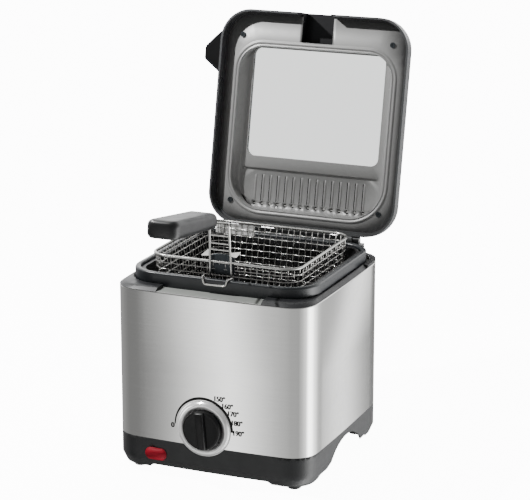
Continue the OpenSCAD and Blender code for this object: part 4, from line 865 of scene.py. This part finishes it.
def addBracket():
    # arched plate behind the rim, which holds the handle's wires: (half cos a, spring + rise sin a ^ 0.8)
    plate = {"half": 12.6, "low": 199, "spring": 214.6, "rise": 4.4, "y": -66, "thick": 1.2, "edge": 0.3}
    turn = np.linspace(0, np.pi, 17)
    half, low = plate["half"], plate["low"]
    arch = np.column_stack([half * np.cos(turn), plate["spring"] + plate["rise"] * np.sin(turn) ** 0.8])
    outline = np.concatenate([[(-half, low), (half, low)], arch])
    rows = [upright(outline, plate["y"] + side * plate["thick"]) for side in (-0.5, 0.5)]
    piece = addPiece("bracket_plate", closedLoft(rows), darkSteel, "basket", bevel=plate["edge"])
    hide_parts("handle_bracket")


def addGrip():
    # sections of a rounded bar, drawn in at each end by a quarter circle: r - sqrt(r^2 - into^2)
    grip = {"root": (-109.5, 263.2), "rise": 7.5, "length": 91.3, "wide": 15.8, "taper": 0.35,
            "thick": (7.5, 9), "corner": 5.4, "rootRound": 2.6, "rootFlat": 0.8, "tipRound": 7.5,
            "tipFlat": 4.8}
    ends = ([0, 0.35, 1.2, 2.6], [83, 86, 88.4, 90, 90.9, grip["length"]])
    rows = []
    for s in np.concatenate([ends[0], np.linspace(6, 79, 8), ends[1]]):
        share = s / grip["length"]
        half = grip["thick"][0] + (grip["thick"][1] - grip["thick"][0]) * share
        into = max(0, grip["rootRound"] - s)
        rootPull = grip["rootRound"] - np.sqrt(max(0, grip["rootRound"] ** 2 - into ** 2))
        into = max(0, s - (grip["length"] - grip["tipRound"]))
        tipPull = grip["tipRound"] - np.sqrt(max(0, grip["tipRound"] ** 2 - into ** 2))
        wide = grip["wide"] - grip["taper"] * (1 - share) - rootPull - tipPull
        tall = half - rootPull * grip["rootFlat"] - tipPull * grip["tipFlat"] / grip["tipRound"]
        loop = roundedLoop(wide, tall, min(grip["corner"], tall - 0.1, wide - 0.1), arcSteps=6, sideSteps=4)
        rows.append(np.column_stack([loop[:, 0], np.full(len(loop), -s), loop[:, 1]]))
    points, faces = closedLoft(rows)
    rise = np.radians(grip["rise"])
    y, z = points[:, 1].copy(), points[:, 2].copy()
    points[:, 1] = grip["root"][0] + y * np.cos(rise) + z * np.sin(rise)
    points[:, 2] = grip["root"][1] - y * np.sin(rise) + z * np.cos(rise)
    piece = addPiece("grip_body", (points, faces), gripPlastic, "basket", sharp=50)
    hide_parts("handle_grip")


addBasketWires()
addBracket()
addHandle()
addGrip()
print("basket done")


liner = {"flange": 199.5, "ridge": 198.4, "floor": 210.4, "ventFloor": 212.6, "edge": 4.1, "step": 64,
         "ringX": 89.7, "ringFront": -69, "ringBack": 110.5, "ringRadius": (31, 41),
         "windowX": 73.3, "windowFront": -62.3, "windowBack": 50.6, "windowRadius": 8,
         "channelHalf": 17.1, "channelBack": -67.9, "thick": 0.6}
dish = {"inset": 5.5, "inward": 6.7, "along": 1.1, "start": 1.8, "corner": (12, 22), "crowd": 4.4,
        "crowdShare": 0.3}


def linerLoop(height, insetX, insetY, radius):
    # loop of the dish, moved in from the ridge's outer edge
    halfX = liner["ringX"] - insetX
    halfY = (liner["ringBack"] - liner["ringFront"]) / 2 - insetY
    middle = (0, (liner["ringBack"] + liner["ringFront"]) / 2)
    return atHeight(roundedLoop(halfX, halfY, radius, middle, 16, 24), height)


def addLiner():
    # a flange, then loops over the ridge's two beads and down the dish's wall, which at a share t has come
    # in by t ^ 0.8 and gone down by 1 - (1 - t) ^ 1.7
    edge = liner["edge"]
    halfX = lid["width"] / 2 - edge
    halfY = (lid["back"] - lid["front"]) / 2 - edge
    middle = (0, (lid["back"] + lid["front"]) / 2)
    outerLoop = roundedLoop(halfX, halfY, lid["radius"] - edge, middle, 16, 14)
    r, ridge, inset = np.array(liner["ringRadius"], float), liner["ridge"], dish["inset"]
    foot = linerLoop(liner["flange"], -1.4, -1.4, r + 1.4)
    crest = [(-0.6, 0.9), (0, 0.35), (0.8, 0), (1.7, 0.05), (2.4, 0.5), (3.0, 0.95), (3.7, 0.75), (4.4, 0.45),
             (5.1, 0.75), (5.5, 1.8)]  # inset and rise: two rounded beads with a shallow groove between
    rows = [foot]
    for inward, rise in crest:
        lengthwise = min(inward, dish["crowd"]) + max(0, inward - dish["crowd"]) * dish["crowdShare"]
        rows.append(linerLoop(ridge + rise, inward, lengthwise, r - inward))
    lengthwise = dish["crowd"] + (inset - dish["crowd"]) * dish["crowdShare"]
    for t in np.linspace(0, 1, 7)[1:]:
        rise = dish["start"] + (liner["floor"] - ridge - dish["start"]) * (1 - (1 - t) ** 1.7)
        rows.append(linerLoop(ridge + rise, inset + dish["inward"] * t ** 0.8, lengthwise + dish["along"] * t,
                              (r - inset) * (1 - t) + np.array(dish["corner"]) * t))
    front, back = liner["windowFront"], liner["windowBack"]
    window = roundedLoop(liner["windowX"], (back - front) / 2, liner["windowRadius"], (0, (back + front) / 2),
                         10, 12)
    flat, faces = plateWithHoles(rows[-1][:, :2], [window] + ventHoles(), liner["floor"], stepLines())
    flat[:, 2] += ventDepth(flat)
    fold = loft([atHeight(window, liner["floor"]), atHeight(window, liner["floor"] + 0.8)])
    shape = joined(clipFlange(outerLoop, foot[:, :2]), loft(rows), (flat, faces), fold)
    piece = addPiece("liner_sheet", shape, satinSteel, "lid", opened, sharp=40, thick=liner["thick"],
                     facing=(0, -1, 0))
    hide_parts("lid_liner")


def clipFlange(outer, inner):
    # flat flange between two loops, with the handle's channel cut out of its front
    half, low, front = liner["channelHalf"], liner["channelBack"], outer[:, 1].min()
    notch = np.array([(-half, front - 5), (half, front - 5), (half, low), (-half, low)])
    kept = outer[~insideLoop(outer, notch)]
    start = np.argmax(np.roll(kept[:, 0], -1) - kept[:, 0] > half)
    order = np.roll(kept, -(start + 1), axis=0)
    cut = [(-half, front), (-half, low), (half, low), (half, front)]
    outline = np.concatenate([order, np.array(cut if order[-1, 0] < 0 else cut[::-1])])
    return plateWithHoles(outline, [inner], liner["flange"])


vents = {"count": 15, "pitch": 8.7, "front": 69.5, "back": 99.6, "hole": 1.9, "holeOut": 0.4, "bend": 2.4,
         "half": 75.5, "halfFade": 3, "end": 103.9, "endFade": 1.4, "slot": 0.55, "slotAside": 1.8}
ventPlaces = (np.arange(vents["count"]) - (vents["count"] - 1) / 2) * vents["pitch"]


def ventDepth(points):
    # the vent panel lies deeper than the dish: 3 t^2 - 2 t^3 across y, fading out to the sides and the back
    across = np.clip((points[:, 1] - liner["step"]) / vents["bend"] + 0.5, 0, 1)
    aside = np.clip((vents["half"] - np.abs(points[:, 0])) / vents["halfFade"], 0, 1)
    behind = np.clip((vents["end"] - points[:, 1]) / vents["endFade"], 0, 1)
    return (liner["ventFloor"] - liner["floor"]) * across * across * (3 - 2 * across) * aside * behind


def stepLines():
    # extra points where the vent panel bends
    x = np.linspace(-72, 72, 25)
    bends = [liner["step"] + off for off in (-1.2, -0.5, 0, 0.5, 1.2)]
    return np.concatenate([np.column_stack([x, np.full(len(x), y)]) for y in bends + [97, 102.4]])


def ventHoles():
    # a circle of 16 points at the end of each rib
    angles = np.linspace(0, 2 * np.pi, 16, endpoint=False)
    y = vents["back"] + vents["holeOut"] + vents["hole"] * np.sin(angles)
    return [np.column_stack([x + vents["hole"] * np.cos(angles), y]) for x in ventPlaces]


def addVentRibs():
    # a rib beside each hole: one low rounded section along y, whose height grows from its ends as sqrt(t)
    section = np.array([(-1.3, 0.3), (-1.3, 0), (-1.2, -0.4), (-0.7, -0.7), (0.1, -0.7), (0.7, -0.4),
                        (1.2, 0), (1.2, 0.3)])
    start, end = vents["front"], vents["back"] - 2.5
    along = np.linspace(start, end, 12)
    taper = np.clip(np.minimum(along - start, end - along) / 3, 0, 1) ** 0.5
    shapes = []
    for x in ventPlaces:
        rows = []
        for y, grow in zip(along, taper):
            lift = np.where(section[:, 1] > 0, section[:, 1], section[:, 1] * grow - 0.02)
            rows.append(upright(np.column_stack([x + section[:, 0], liner["ventFloor"] + lift]), y))
        shapes.append(closedLoft(rows))
    addPiece("vent_ribs", joined(*shapes), satinSteel, "lid", opened, sharp=50)


def addSlitShadeStrips():
    # painted shade of the slit beside each rib: a thin dark strip with half-round ends, just proud of the
    # panel, standing in for the shaded opening
    turn = np.linspace(0, np.pi, 7)
    half, start, end = vents["slot"], vents["front"] + 0.6, vents["back"] - 3
    shapes = []
    for x in ventPlaces - vents["slotAside"]:
        outline = np.concatenate([np.column_stack([x + half * np.cos(turn), end + half * np.sin(turn)]),
                                  np.column_stack([x - half * np.cos(turn), start - half * np.sin(turn)])])
        shapes.append(closedLoft([atHeight(outline, liner["ventFloor"] + lift) for lift in (0.3, -0.04)]))
    addPiece("vent_slit_shade", joined(*shapes), coatingAndSlitShade, "lid", opened, sharp=50)


addLiner()
addVentRibs()
addSlitShadeStrips()
print("lid done")
